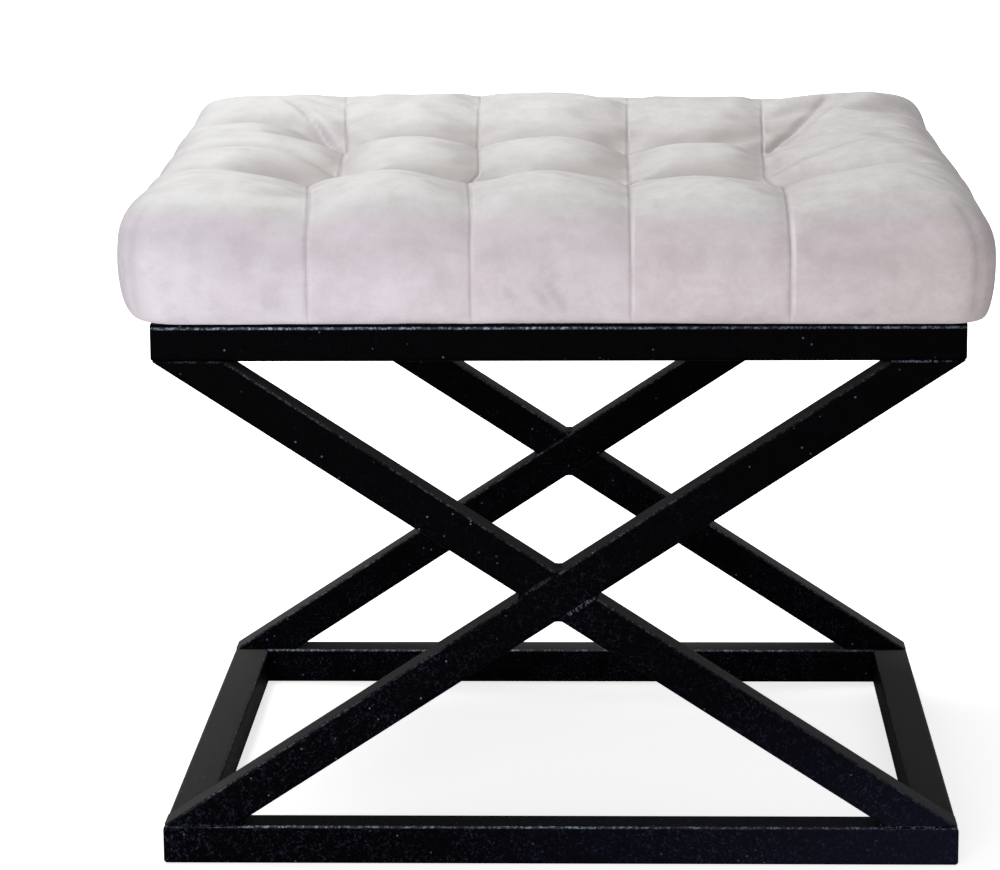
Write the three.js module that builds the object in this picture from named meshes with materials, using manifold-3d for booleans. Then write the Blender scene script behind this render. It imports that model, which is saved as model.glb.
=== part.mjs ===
// X-frame stool: a welded frame of square steel tube that carries a velvet seat pad with eight blind
// tufts. Millimetres, +Z up, +X to the right and +Y to the back. The origin is on the floor, under the
// middle of the seat. The pad is built as an upholsterer builds it: a plywood board, a foam pad on it,
// and a velvet cover that wraps both and is turned under the board. Ties pull the cover down at the
// tufts, and four bolts hold the board.
import * as THREE from "three";
import { mergeVertices } from "three/addons/utils/BufferGeometryUtils.js";
import Module from "manifold-3d";

const wasm = await Module();
wasm.setup();

// Driving dimensions of the frame
const FRAME_WIDTH = 500;
const FRAME_DEPTH = 460;
const FRAME_HEIGHT = 347;
const TUBE_WIDTH = 25;
const TUBE_WALL_THICKNESS = 1.5;
const TUBE_CORNER_RADIUS = 2.5;
const TUBE_INNER_RADIUS = 1;
const WELD_ROOT_GAP = 0.3;
const END_WELD_LENGTH = 3.5;
const CROSSING_WELD_LENGTH = 2.5;
const WELD_HOLLOW_SHARE = 0.8;

// Driving dimensions of the seat pad
const PAD_OVERHANG = 19;
const PAD_HEIGHT = 90;
const PAD_CORNER_RADIUS = 34;
const SHOULDER_RADIUS = 27;
const COVER_THICKNESS = 2;
const HEM_WIDTH = 42;
const DUST_COVER_THICKNESS = 1;
const DUST_COVER_INSET = 6;
const BOARD_THICKNESS = 15;
const BOARD_CORNER_RADIUS = 30;
const FIT_GAP = 0.3;

// Driving dimensions of the tufting
const TUFT_COLUMNS = 4;
const TUFT_COLUMN_PITCH = 99;
const TUFT_ROWS = 2;
const TUFT_ROW_PITCH = 150;
const TUFT_OFFSET = -10;
const TUFT_DEPTH = 27;
const SEAM_DEPTH = 15;
const SEAM_RIM_DEPTH = 6;
const SEAM_SIDE_DEPTH = 5;
const PLEAT_DEPTH = 13;
const PLEAT_RIM_DEPTH = 6;
const PLEAT_SIDE_DEPTH = 3.5;
const RIM_DEPTH = 8;
const SEAM_FOOT_SHARE = 0.3;
const TIE_DIAMETER = 2;
const TIE_DISC_DIAMETER = 14;
const TIE_DISC_THICKNESS = 1.2;
const TIE_FOAM_CLEARANCE = 1;
const TIE_BOARD_CLEARANCE = 3;

// Driving dimensions of the seat bolts, M6 button heads with washers and tee nuts
const BOLT_DIAMETER = 6;
const BOLT_SPACING = 250;
const BOLT_TIP_CLEARANCE = 0.9;
const BOLT_TIP_CHAMFER = 0.8;
const BOLT_HOLE_CLEARANCE = 1;
const BOLT_HEAD_DIAMETER = 11;
const BOLT_HEAD_HEIGHT = 3.3;
const BUTTON_HEAD_SHARES = [
  [0.62, 1],
  [0.88, 0.62],
  [1, 0.2],
];
const HEX_KEY_WIDTH = 4;
const HEX_KEY_DEPTH = 2;
const WASHER_DIAMETER = 16;
const WASHER_THICKNESS = 1.6;
const WASHER_CLEARANCE = 0.6;
const TEE_FLANGE_DIAMETER = 19;
const TEE_FLANGE_THICKNESS = 1.3;
const TEE_BARREL_WALL_THICKNESS = 0.7;
const TEE_BARREL_LENGTH = 9;
const TEE_BORE_CLEARANCE = 0.6;
const TEE_PRONGS = 4;
const TEE_PRONG_LENGTH = 6;
const TEE_PRONG_WIDTH = 2.4;
const TEE_PRONG_THICKNESS = 1;

// Facets and overruns
const TUBE_CORNER_FACETS = 4;
const ROUND_FACETS = 16;
const HIDDEN_FACETS = 8;
const HEX_SIDES = 6;
const CUT_OVERRUN = 5;
const MERGE_DISTANCE = 1e-4;

// How steeply the pad's forms curve: the rim's fall, the fold beside a seam and the side above the
// board's edge
const RIM_POWER = 8;
const FOLD_POWER = 2;
const SIDE_POWER = 2.4;

// Levels, worked out from the floor up
const HALF_TUBE = TUBE_WIDTH / 2;
const BASE_LEVEL = HALF_TUBE;
const RING_LEVEL = FRAME_HEIGHT - HALF_TUBE;
const RING_UNDERSIDE = FRAME_HEIGHT - TUBE_WIDTH;
const HEM_LEVEL = FRAME_HEIGHT + DUST_COVER_THICKNESS;
const BOARD_LEVEL = HEM_LEVEL + COVER_THICKNESS;
const BOARD_TOP = BOARD_LEVEL + BOARD_THICKNESS;
const PAD_TOP = FRAME_HEIGHT + PAD_HEIGHT;
const BOARD_WIDTH = FRAME_WIDTH - 2 * (COVER_THICKNESS + FIT_GAP);
const BOARD_DEPTH = FRAME_DEPTH - 2 * (COVER_THICKNESS + FIT_GAP);
const PAD_HALF_WIDTH = FRAME_WIDTH / 2 + PAD_OVERHANG;
const PAD_HALF_DEPTH = FRAME_DEPTH / 2 + PAD_OVERHANG;
const BOLT_HOLE = BOLT_DIAMETER + BOLT_HOLE_CLEARANCE;
const BOLT_BEARING_LEVEL = RING_UNDERSIDE - WASHER_THICKNESS;
const BOLT_LENGTH = BOARD_TOP + TEE_FLANGE_THICKNESS - BOLT_TIP_CLEARANCE - BOLT_BEARING_LEVEL;
const TEE_BORE = BOLT_DIAMETER + TEE_BORE_CLEARANCE;
const TEE_BARREL_DIAMETER = TEE_BORE + 2 * TEE_BARREL_WALL_THICKNESS;

const FINISHES = {
  powderCoat: { color: 0x0b0b11, roughness: 0.42, metalness: 0.2 },
  velvet: { color: 0xd8cfd1, roughness: 0.9, metalness: 0 },
  foam: { color: 0xe9e0c4, roughness: 1, metalness: 0 },
  plywood: { color: 0xc6a06c, roughness: 0.7, metalness: 0 },
  dustCover: { color: 0x161618, roughness: 0.95, metalness: 0 },
  zinc: { color: 0xb6bac0, roughness: 0.35, metalness: 1 },
  nylon: { color: 0xe6e6e2, roughness: 0.6, metalness: 0 },
};
const materials = Object.fromEntries(
  Object.entries(FINISHES).map(([name, finish]) => [name, new THREE.MeshStandardMaterial(finish)]),
);

// A closed geometry as a solid that can be cut, and a solid as a geometry again
function solidOf(geometry) {
  const bare = new THREE.BufferGeometry();
  bare.setAttribute("position", geometry.getAttribute("position"));
  if (geometry.index) bare.setIndex(geometry.index);
  const merged = mergeVertices(bare, MERGE_DISTANCE);
  return new wasm.Manifold(
    new wasm.Mesh({
      numProp: 3,
      vertProperties: merged.getAttribute("position").array,
      triVerts: new Uint32Array(merged.index.array),
    }),
  );
}

function geometryOf(solid) {
  const mesh = solid.getMesh();
  const geometry = new THREE.BufferGeometry();
  geometry.setAttribute("position", new THREE.BufferAttribute(mesh.vertProperties, 3));
  geometry.setIndex(new THREE.BufferAttribute(mesh.triVerts, 1));
  geometry.computeVertexNormals();
  return geometry;
}

function piece(name, geometry, material) {
  const mesh = new THREE.Mesh(geometry, material);
  mesh.name = name;
  return mesh;
}

// An upright cylinder from one level to another, for holes
function drill(diameter, x, y, low, high, facets = ROUND_FACETS) {
  const cylinder = new THREE.CylinderGeometry(diameter / 2, diameter / 2, high - low, facets);
  cylinder.rotateX(Math.PI / 2).translate(x, y, (low + high) / 2);
  return solidOf(cylinder);
}

function roundedRectangle(path, width, height, radius) {
  const x = width / 2 - radius;
  const y = height / 2 - radius;
  const quarter = Math.PI / 2;
  path.absarc(x, y, radius, 0, quarter, false);
  path.absarc(-x, y, radius, quarter, 2 * quarter, false);
  path.absarc(-x, -y, radius, 2 * quarter, 3 * quarter, false);
  path.absarc(x, -y, radius, 3 * quarter, 4 * quarter, false);
  path.closePath();
  return path;
}

// Square tube along local X. Each end is a flat cut: cutStart and cutEnd give the end's x at a point of
// the section.
function squareTube(cutStart, cutEnd) {
  const section = roundedRectangle(new THREE.Shape(), TUBE_WIDTH, TUBE_WIDTH, TUBE_CORNER_RADIUS);
  const bore = TUBE_WIDTH - 2 * TUBE_WALL_THICKNESS;
  section.holes.push(roundedRectangle(new THREE.Path(), bore, bore, TUBE_INNER_RADIUS));
  const tube = new THREE.ExtrudeGeometry(section, {
    depth: 1,
    bevelEnabled: false,
    curveSegments: TUBE_CORNER_FACETS,
  });
  const position = tube.getAttribute("position");
  for (let i = 0; i < position.count; i++) {
    const y = position.getX(i);
    const z = position.getY(i);
    const cut = position.getZ(i) === 0 ? cutStart : cutEnd;
    position.setXYZ(i, cut(y, z), y, z);
  }
  tube.computeVertexNormals();
  return tube;
}

// A rail of one of the two rings, with mitred ends. Its local Y points into the ring.
function mitredRail(length) {
  const mitre = (y) => length / 2 - (y + HALF_TUBE) - WELD_ROOT_GAP;
  return squareTube(
    (y) => -mitre(y),
    (y) => mitre(y),
  );
}

function ring(prefix, level) {
  const rails = new THREE.Group();
  rails.position.z = level;
  const sides = [
    ["front", FRAME_WIDTH, 0, 0, -1],
    ["right", FRAME_DEPTH, Math.PI / 2, 1, 0],
    ["rear", FRAME_WIDTH, Math.PI, 0, 1],
    ["left", FRAME_DEPTH, -Math.PI / 2, -1, 0],
  ];
  for (const [side, length, turn, toX, toY] of sides) {
    const rail = piece(`${prefix}_${side}_rail`, mitredRail(length), materials.powderCoat);
    rail.rotation.z = turn;
    rail.position.set(toX * (FRAME_WIDTH / 2 - HALF_TUBE), toY * (FRAME_DEPTH / 2 - HALF_TUBE), 0);
    rails.add(rail);
  }
  return rails;
}

// The upper ring's side rails are drilled through both walls for the seat bolts.
function drillSeatBoltHoles(rails) {
  for (const side of ["left", "right"]) {
    const rail = rails.getObjectByName(`top_${side}_rail`);
    let solid = solidOf(rail.geometry);
    for (const x of [-BOLT_SPACING / 2, BOLT_SPACING / 2]) {
      solid = solid.subtract(drill(BOLT_HOLE, x, 0, -HALF_TUBE - CUT_OVERRUN, HALF_TUBE + CUT_OVERRUN));
    }
    rail.geometry = geometryOf(solid);
  }
}

// The X of each side: one leg runs through from corner to corner, and two half legs butt against it. A
// leg's upper edge starts at the base ring's outer end, and its lower edge ends at the upper ring's
// outer end.
const LEG_RISE = FRAME_HEIGHT - 2 * TUBE_WIDTH;
const LEG_DIAGONAL = Math.hypot(LEG_RISE, FRAME_WIDTH);
const LEG_ANGLE = Math.atan2(LEG_RISE, FRAME_WIDTH) + Math.asin(TUBE_WIDTH / LEG_DIAGONAL);

function levelCut(z) {
  return (LEG_RISE / 2 - WELD_ROOT_GAP - z * Math.cos(LEG_ANGLE)) / Math.sin(LEG_ANGLE);
}

function crossingCut(z) {
  return (HALF_TUBE + WELD_ROOT_GAP + z * Math.cos(2 * LEG_ANGLE)) / Math.sin(2 * LEG_ANGLE);
}

// A fillet weld in the corner between two faces at the given angle. The corner's line is the local Y
// axis, one face is the local XY plane, and the other rises from it at the angle.
function filletWeld(angle, size) {
  const tip = WELD_ROOT_GAP / Math.sin(angle / 2);
  const middle = new THREE.Vector2(Math.cos(angle / 2), Math.sin(angle / 2));
  const section = new THREE.Shape();
  section.moveTo(tip * middle.x, tip * middle.y);
  section.lineTo(size, WELD_ROOT_GAP);
  const farEnd = new THREE.Vector2(size, -WELD_ROOT_GAP).rotateAround(new THREE.Vector2(), angle);
  const hollow = middle.clone().multiplyScalar(size * Math.cos(angle / 2) * WELD_HOLLOW_SHARE);
  section.quadraticCurveTo(hollow.x, hollow.y, farEnd.x, farEnd.y);
  section.closePath();
  const weld = new THREE.ExtrudeGeometry(section, {
    depth: TUBE_WIDTH - 2 * TUBE_CORNER_RADIUS,
    bevelEnabled: false,
    curveSegments: TUBE_CORNER_FACETS,
  });
  return weld.rotateX(Math.PI / 2).translate(0, HALF_TUBE - TUBE_CORNER_RADIUS, 0);
}

// A half turn about Y carries everything at a lower corner to the opposite upper one, and back.
function halfTurned(turned, ...objects) {
  const group = new THREE.Group();
  group.rotation.y = turned ? Math.PI : 0;
  group.add(...objects);
  return group;
}

function crossedLegs(side, y) {
  const cross = new THREE.Group();
  cross.position.set(0, y, FRAME_HEIGHT / 2);

  const through = squareTube(
    (_, z) => -levelCut(-z),
    (_, z) => levelCut(z),
  );
  const throughLeg = piece(`${side}_through_leg`, through, materials.powderCoat);
  throughLeg.rotation.y = -LEG_ANGLE;
  cross.add(throughLeg);

  const half = squareTube(
    (_, z) => crossingCut(z),
    (_, z) => levelCut(-z),
  );
  const endX = FRAME_WIDTH / 2 - TUBE_WIDTH / Math.sin(LEG_ANGLE);
  const lean = 2 * LEG_ANGLE;
  const footHalf = HALF_TUBE / Math.sin(lean);
  const footMiddle = HALF_TUBE / Math.tan(lean);
  for (const level of ["lower", "upper"]) {
    // Built for the lower level: the half leg runs down to the right, and turned about it runs up
    // to the left.
    const halfLeg = piece(`${side}_${level}_half_leg`, half, materials.powderCoat);
    halfLeg.rotation.y = LEG_ANGLE;

    // Fillet welds in the sharp corners between the two legs' ends and the rail
    const endWeld = filletWeld(LEG_ANGLE, END_WELD_LENGTH);
    const leftWeld = piece(`${side}_${level}_through_leg_weld`, endWeld, materials.powderCoat);
    leftWeld.position.set(-endX, 0, -LEG_RISE / 2);
    const rightWeld = piece(`${side}_${level}_half_leg_weld`, endWeld, materials.powderCoat);
    rightWeld.position.set(endX, 0, -LEG_RISE / 2);
    rightWeld.rotation.z = Math.PI;

    // Fillet welds in the sharp and the blunt corner where the half leg butts against the through
    // leg's underside
    const sharp = filletWeld(lean, CROSSING_WELD_LENGTH);
    const sharpWeld = piece(`${side}_${level}_sharp_crossing_weld`, sharp, materials.powderCoat);
    sharpWeld.position.set(footMiddle + footHalf, 0, -HALF_TUBE);
    sharpWeld.rotation.x = Math.PI;
    const blunt = filletWeld(Math.PI - lean, CROSSING_WELD_LENGTH);
    const bluntWeld = piece(`${side}_${level}_blunt_crossing_weld`, blunt, materials.powderCoat);
    bluntWeld.position.set(footMiddle - footHalf, 0, -HALF_TUBE);
    bluntWeld.rotation.y = Math.PI;
    const joint = new THREE.Group();
    joint.rotation.y = -LEG_ANGLE;
    joint.add(sharpWeld, bluntWeld);
    cross.add(halfTurned(level === "upper", halfLeg, leftWeld, rightWeld, joint));
  }
  return cross;
}

// Where the tufts are, from the front left one
function tuftPlaces() {
  const places = [];
  for (let row = 0; row < TUFT_ROWS; row++) {
    for (let column = 0; column < TUFT_COLUMNS; column++) {
      places.push([
        TUFT_OFFSET + (column - (TUFT_COLUMNS - 1) / 2) * TUFT_COLUMN_PITCH,
        (row - (TUFT_ROWS - 1) / 2) * TUFT_ROW_PITCH,
      ]);
    }
  }
  return places;
}

// How far a coordinate lies from the nearest of the lines, as a share of the way to the middle of its
// panel, or to the rim in an outer panel
function panelShare(value, lines, rim) {
  const outside = value <= lines[0] || value >= lines.at(-1);
  if (outside) {
    const line = value <= lines[0] ? lines[0] : lines.at(-1);
    return { share: Math.min(1, Math.abs(value - line) / (rim - Math.abs(line))), outside };
  }
  const pitch = lines[1] - lines[0];
  const nearest = Math.min(...lines.map((line) => Math.abs(value - line)));
  return { share: Math.min(1, nearest / (pitch / 2)), outside };
}

const COLUMN_LINES = tuftPlaces()
  .slice(0, TUFT_COLUMNS)
  .map(([x]) => x);
const ROW_LINES = tuftPlaces()
  .filter((_, i) => i % TUFT_COLUMNS === 0)
  .map(([, y]) => y);

// Height of the pad's top over the floor: a crown that is drawn down along the seams and pleats, and
// most at the tufts where they cross
function crownHeight(x, y, halfWidth, halfDepth) {
  const across = panelShare(x, COLUMN_LINES, halfWidth);
  const along = panelShare(y, ROW_LINES, halfDepth);
  const seam = along.outside ? SEAM_RIM_DEPTH : SEAM_DEPTH;
  const pleat = across.outside ? PLEAT_RIM_DEPTH : PLEAT_DEPTH;
  const nearColumn = (1 - across.share) ** FOLD_POWER;
  const nearRow = (1 - along.share) ** FOLD_POWER;
  const drawnDown =
    TUFT_DEPTH * nearColumn * nearRow +
    seam * nearColumn * (1 - nearRow) +
    pleat * nearRow * (1 - nearColumn);
  const rim = 1 - (1 - (x / halfWidth) ** RIM_POWER) * (1 - (y / halfDepth) ** RIM_POWER);
  return PAD_TOP - RIM_DEPTH * rim - drawnDown;
}

// Coordinates from rim to rim that fall on the given lines, with the steps closest beside the lines,
// where the top falls steepest
function gridLines(lines, rim, corner, steps) {
  const found = new Set();
  const lay = (from, to, shares) => shares.forEach((share) => found.add(from + (to - from) * share));
  lay(lines[0], corner - rim, steps.outerShares);
  lay(lines.at(-1), rim - corner, steps.outerShares);
  lay(corner - rim, -rim, steps.cornerShares);
  lay(rim - corner, rim, steps.cornerShares);
  for (let i = 0; i + 1 < lines.length; i++) {
    const middle = (lines[i] + lines[i + 1]) / 2;
    lay(lines[i], middle, steps.panelShares);
    lay(lines[i + 1], middle, steps.panelShares.slice(0, -1));
  }
  lines.forEach((line) => found.add(line));
  return [...found].sort((a, b) => a - b);
}

// Rounds the corners of a rectangle of the given half sizes, the points inside the corner squares with
// them
function roundCorner(x, y, halfWidth, halfDepth, radius) {
  const intoX = Math.max(0, Math.abs(x) - (halfWidth - radius)) / radius;
  const intoY = Math.max(0, Math.abs(y) - (halfDepth - radius)) / radius;
  const backX = radius * intoX * (1 - Math.sqrt(1 - intoY ** 2 / 2));
  const backY = radius * intoY * (1 - Math.sqrt(1 - intoX ** 2 / 2));
  return [x - Math.sign(x) * backX, y - Math.sign(y) * backY];
}

// The side of the pad from the shoulder down to the bottom edge. Each ring says how far it stands in
// from the widest line and how high it is, how much of the rim's own drop it keeps, and how far its
// seams are pulled in. The side bulges over the board's edge and is drawn in to the frame's outline
// below.
function sideRings(inset, floor, shoulderSteps, sideSteps) {
  const rings = [];
  const widest = PAD_TOP - RIM_DEPTH - SHOULDER_RADIUS - inset;
  for (let i = 1; i <= shoulderSteps; i++) {
    const angle = (Math.PI / 2) * (1 - i / shoulderSteps);
    rings.push({
      back: inset + SHOULDER_RADIUS * (1 - Math.cos(angle)),
      height: widest + SHOULDER_RADIUS * Math.sin(angle),
      drop: Math.sin(angle),
      pull: Math.cos(angle),
    });
  }
  for (let i = 1; i <= sideSteps; i++) {
    const share = i / sideSteps;
    rings.push({
      back: inset + PAD_OVERHANG * (1 - Math.sqrt(1 - share ** SIDE_POWER)),
      height: widest + (floor - widest) * share,
      drop: 0,
      pull: 1 - (1 - SEAM_FOOT_SHARE) * share,
    });
  }
  return rings;
}

// A closed solid of the pad's shape, drawn in everywhere by inset, from the given floor level up
// Only the outer panels widen towards the sides, so the seams stay straight down the faces.
function widened(value, lines, half, grow) {
  const last = lines[value < 0 ? 0 : lines.length - 1];
  const end = value < 0 ? -half : half;
  const outside = value < 0 ? value < last : value > last;
  return outside ? value + (Math.sign(end) * grow * (value - last)) / (end - last) : value;
}

function padSolid(inset, floor, steps) {
  const halfWidth = PAD_HALF_WIDTH - SHOULDER_RADIUS;
  const halfDepth = PAD_HALF_DEPTH - SHOULDER_RADIUS;
  const topCorner = PAD_CORNER_RADIUS - SHOULDER_RADIUS / 2;
  const xs = gridLines(COLUMN_LINES, halfWidth, topCorner, steps);
  const ys = gridLines(ROW_LINES, halfDepth, topCorner, steps);
  const points = [];
  const faces = [];
  for (const y of ys) {
    for (const x of xs) {
      points.push([
        ...roundCorner(x, y, halfWidth, halfDepth, topCorner),
        crownHeight(x, y, halfWidth, halfDepth) - inset,
      ]);
    }
  }
  const columns = xs.length;
  for (let j = 0; j + 1 < ys.length; j++) {
    for (let i = 0; i + 1 < columns; i++) {
      const a = j * columns + i;
      const b = a + columns;
      faces.push([a, a + 1, b + 1], [a, b + 1, b]);
    }
  }

  // The loop of the top's outer points, anticlockwise from the front left corner
  const loop = [];
  for (let i = 0; i < columns - 1; i++) loop.push(i);
  for (let j = 0; j < ys.length - 1; j++) loop.push(j * columns + columns - 1);
  for (let i = columns - 1; i > 0; i--) loop.push((ys.length - 1) * columns + i);
  for (let j = ys.length - 1; j > 0; j--) loop.push(j * columns);

  let previous = loop;
  for (const { back, height, drop, pull } of sideRings(inset, floor, steps.shoulder, steps.side)) {
    const grow = SHOULDER_RADIUS - back;
    const ringCorner = topCorner + grow / 2;
    const start = points.length;
    for (const index of loop) {
      const i = index % columns;
      const j = Math.floor(index / columns);
      const x = widened(xs[i], COLUMN_LINES, halfWidth, grow);
      const y = widened(ys[j], ROW_LINES, halfDepth, grow);
      const [rx, ry] = roundCorner(x, y, halfWidth + grow, halfDepth + grow, ringCorner);
      const atSide = Math.abs(xs[i]) === halfWidth;
      const atFront = Math.abs(ys[j]) === halfDepth;
      const nearColumn = (1 - panelShare(xs[i], COLUMN_LINES, halfWidth).share) ** FOLD_POWER;
      const nearRow = (1 - panelShare(ys[j], ROW_LINES, halfDepth).share) ** FOLD_POWER;
      const seam = atFront ? SEAM_SIDE_DEPTH * nearColumn * pull : 0;
      const pleat = atSide ? PLEAT_SIDE_DEPTH * nearRow * pull : 0;
      const rimDrop = PAD_TOP - RIM_DEPTH - crownHeight(xs[i], ys[j], halfWidth, halfDepth);
      points.push([rx - Math.sign(rx) * pleat, ry - Math.sign(ry) * seam, height - rimDrop * drop]);
    }
    for (let k = 0; k < loop.length; k++) {
      const next = (k + 1) % loop.length;
      faces.push([start + k, start + next, previous[next]], [start + k, previous[next], previous[k]]);
    }
    previous = loop.map((_, k) => start + k);
  }

  const middle = points.length;
  points.push([0, 0, floor]);
  for (let k = 0; k < previous.length; k++) {
    faces.push([previous[(k + 1) % previous.length], previous[k], middle]);
  }
  const geometry = new THREE.BufferGeometry();
  geometry.setAttribute("position", new THREE.Float32BufferAttribute(points.flat(), 3));
  geometry.setIndex(faces.flat());
  return solidOf(geometry);
}

// The steps between lines are shares of the way from a line to its panel's middle or outer end.
const OUTER_SKIN = {
  cornerShares: [0.5, 1],
  outerShares: [0.25, 1],
  panelShares: [0.2, 0.55, 1],
  shoulder: 3,
  side: 3,
};
const INNER_SKIN = {
  cornerShares: [1],
  outerShares: [1],
  panelShares: [1],
  shoulder: 2,
  side: 2,
};

function plate(width, depth, corner, low, thickness) {
  const outline = roundedRectangle(new THREE.Shape(), width, depth, corner);
  const geometry = new THREE.ExtrudeGeometry(outline, {
    depth: thickness,
    bevelEnabled: false,
    curveSegments: TUBE_CORNER_FACETS,
  });
  return solidOf(geometry.translate(0, 0, low));
}

function boltPlaces() {
  const x = FRAME_WIDTH / 2 - HALF_TUBE;
  const y = BOLT_SPACING / 2;
  return [
    ["front_left", -x, -y],
    ["front_right", x, -y],
    ["rear_left", -x, y],
    ["rear_right", x, y],
  ];
}

// Tee nut on the board's upper face: a flange, a barrel and prongs that bite into the board
function teeNut() {
  const bore = TEE_BORE / 2;
  const barrel = TEE_BARREL_DIAMETER / 2;
  const flange = TEE_FLANGE_DIAMETER / 2;
  const profile = [
    [bore, -TEE_BARREL_LENGTH],
    [barrel, -TEE_BARREL_LENGTH],
    [barrel, 0],
    [flange, 0],
    [flange, TEE_FLANGE_THICKNESS],
    [bore, TEE_FLANGE_THICKNESS],
    [bore, -TEE_BARREL_LENGTH],
  ].map(([r, z]) => new THREE.Vector2(r, z));
  const lathe = new THREE.LatheGeometry(profile, ROUND_FACETS).rotateX(Math.PI / 2);
  return prongs(0).reduce((nut, prong) => nut.add(prong), solidOf(lathe));
}

// The tee nut's prongs, or with a gap the slots that they leave in the board
function prongs(gap) {
  const reach = TEE_FLANGE_DIAMETER / 2 - TEE_PRONG_THICKNESS;
  const height = TEE_PRONG_LENGTH + TEE_FLANGE_THICKNESS / 2;
  return Array.from({ length: TEE_PRONGS }, (_, i) => {
    const thickness = TEE_PRONG_THICKNESS + 2 * gap;
    const prong = new THREE.BoxGeometry(thickness, TEE_PRONG_WIDTH + 2 * gap, height + gap);
    prong.translate(reach - TEE_PRONG_THICKNESS, 0, TEE_FLANGE_THICKNESS / 2 - (height + gap) / 2);
    return solidOf(prong.rotateZ((2 * Math.PI * i) / TEE_PRONGS));
  });
}

// Button-head bolt with a hexagon socket. Its head's bearing face is at the local origin.
function bolt() {
  const shank = BOLT_DIAMETER / 2;
  const head = BOLT_HEAD_DIAMETER / 2;
  const profile = [
    [0, -BOLT_HEAD_HEIGHT],
    ...BUTTON_HEAD_SHARES.map(([out, down]) => [head * out, -BOLT_HEAD_HEIGHT * down]),
    [head, 0],
    [shank, 0],
    [shank, BOLT_LENGTH - BOLT_TIP_CHAMFER],
    [shank - BOLT_TIP_CHAMFER, BOLT_LENGTH],
    [0, BOLT_LENGTH],
  ].map(([r, z]) => new THREE.Vector2(r, z));
  const lathe = new THREE.LatheGeometry(profile, ROUND_FACETS).rotateX(Math.PI / 2);
  const hexRadius = HEX_KEY_WIDTH / Math.sqrt(3);
  const headEnd = -BOLT_HEAD_HEIGHT;
  const socket = drill(2 * hexRadius, 0, 0, headEnd - CUT_OVERRUN, headEnd + HEX_KEY_DEPTH, HEX_SIDES);
  return geometryOf(solidOf(lathe).subtract(socket));
}

function washer() {
  const outer = WASHER_DIAMETER / 2;
  const inner = (BOLT_DIAMETER + WASHER_CLEARANCE) / 2;
  const profile = [
    [inner, 0],
    [outer, 0],
    [outer, WASHER_THICKNESS],
    [inner, WASHER_THICKNESS],
    [inner, 0],
  ].map(([r, z]) => new THREE.Vector2(r, z));
  return new THREE.LatheGeometry(profile, ROUND_FACETS).rotateX(Math.PI / 2);
}

// Tufting tie: a disc let into the board's underside and the twine that runs up to the cover
function tie(top) {
  const twine = TIE_DIAMETER / 2;
  const disc = TIE_DISC_DIAMETER / 2;
  const discTop = BOARD_LEVEL + TIE_DISC_THICKNESS;
  const profile = [
    [0, BOARD_LEVEL],
    [disc, BOARD_LEVEL],
    [disc, discTop],
    [twine, discTop],
    [twine, top],
    [0, top],
  ].map(([r, z]) => new THREE.Vector2(r, z));
  return new THREE.LatheGeometry(profile, HIDDEN_FACETS).rotateX(Math.PI / 2);
}

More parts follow.
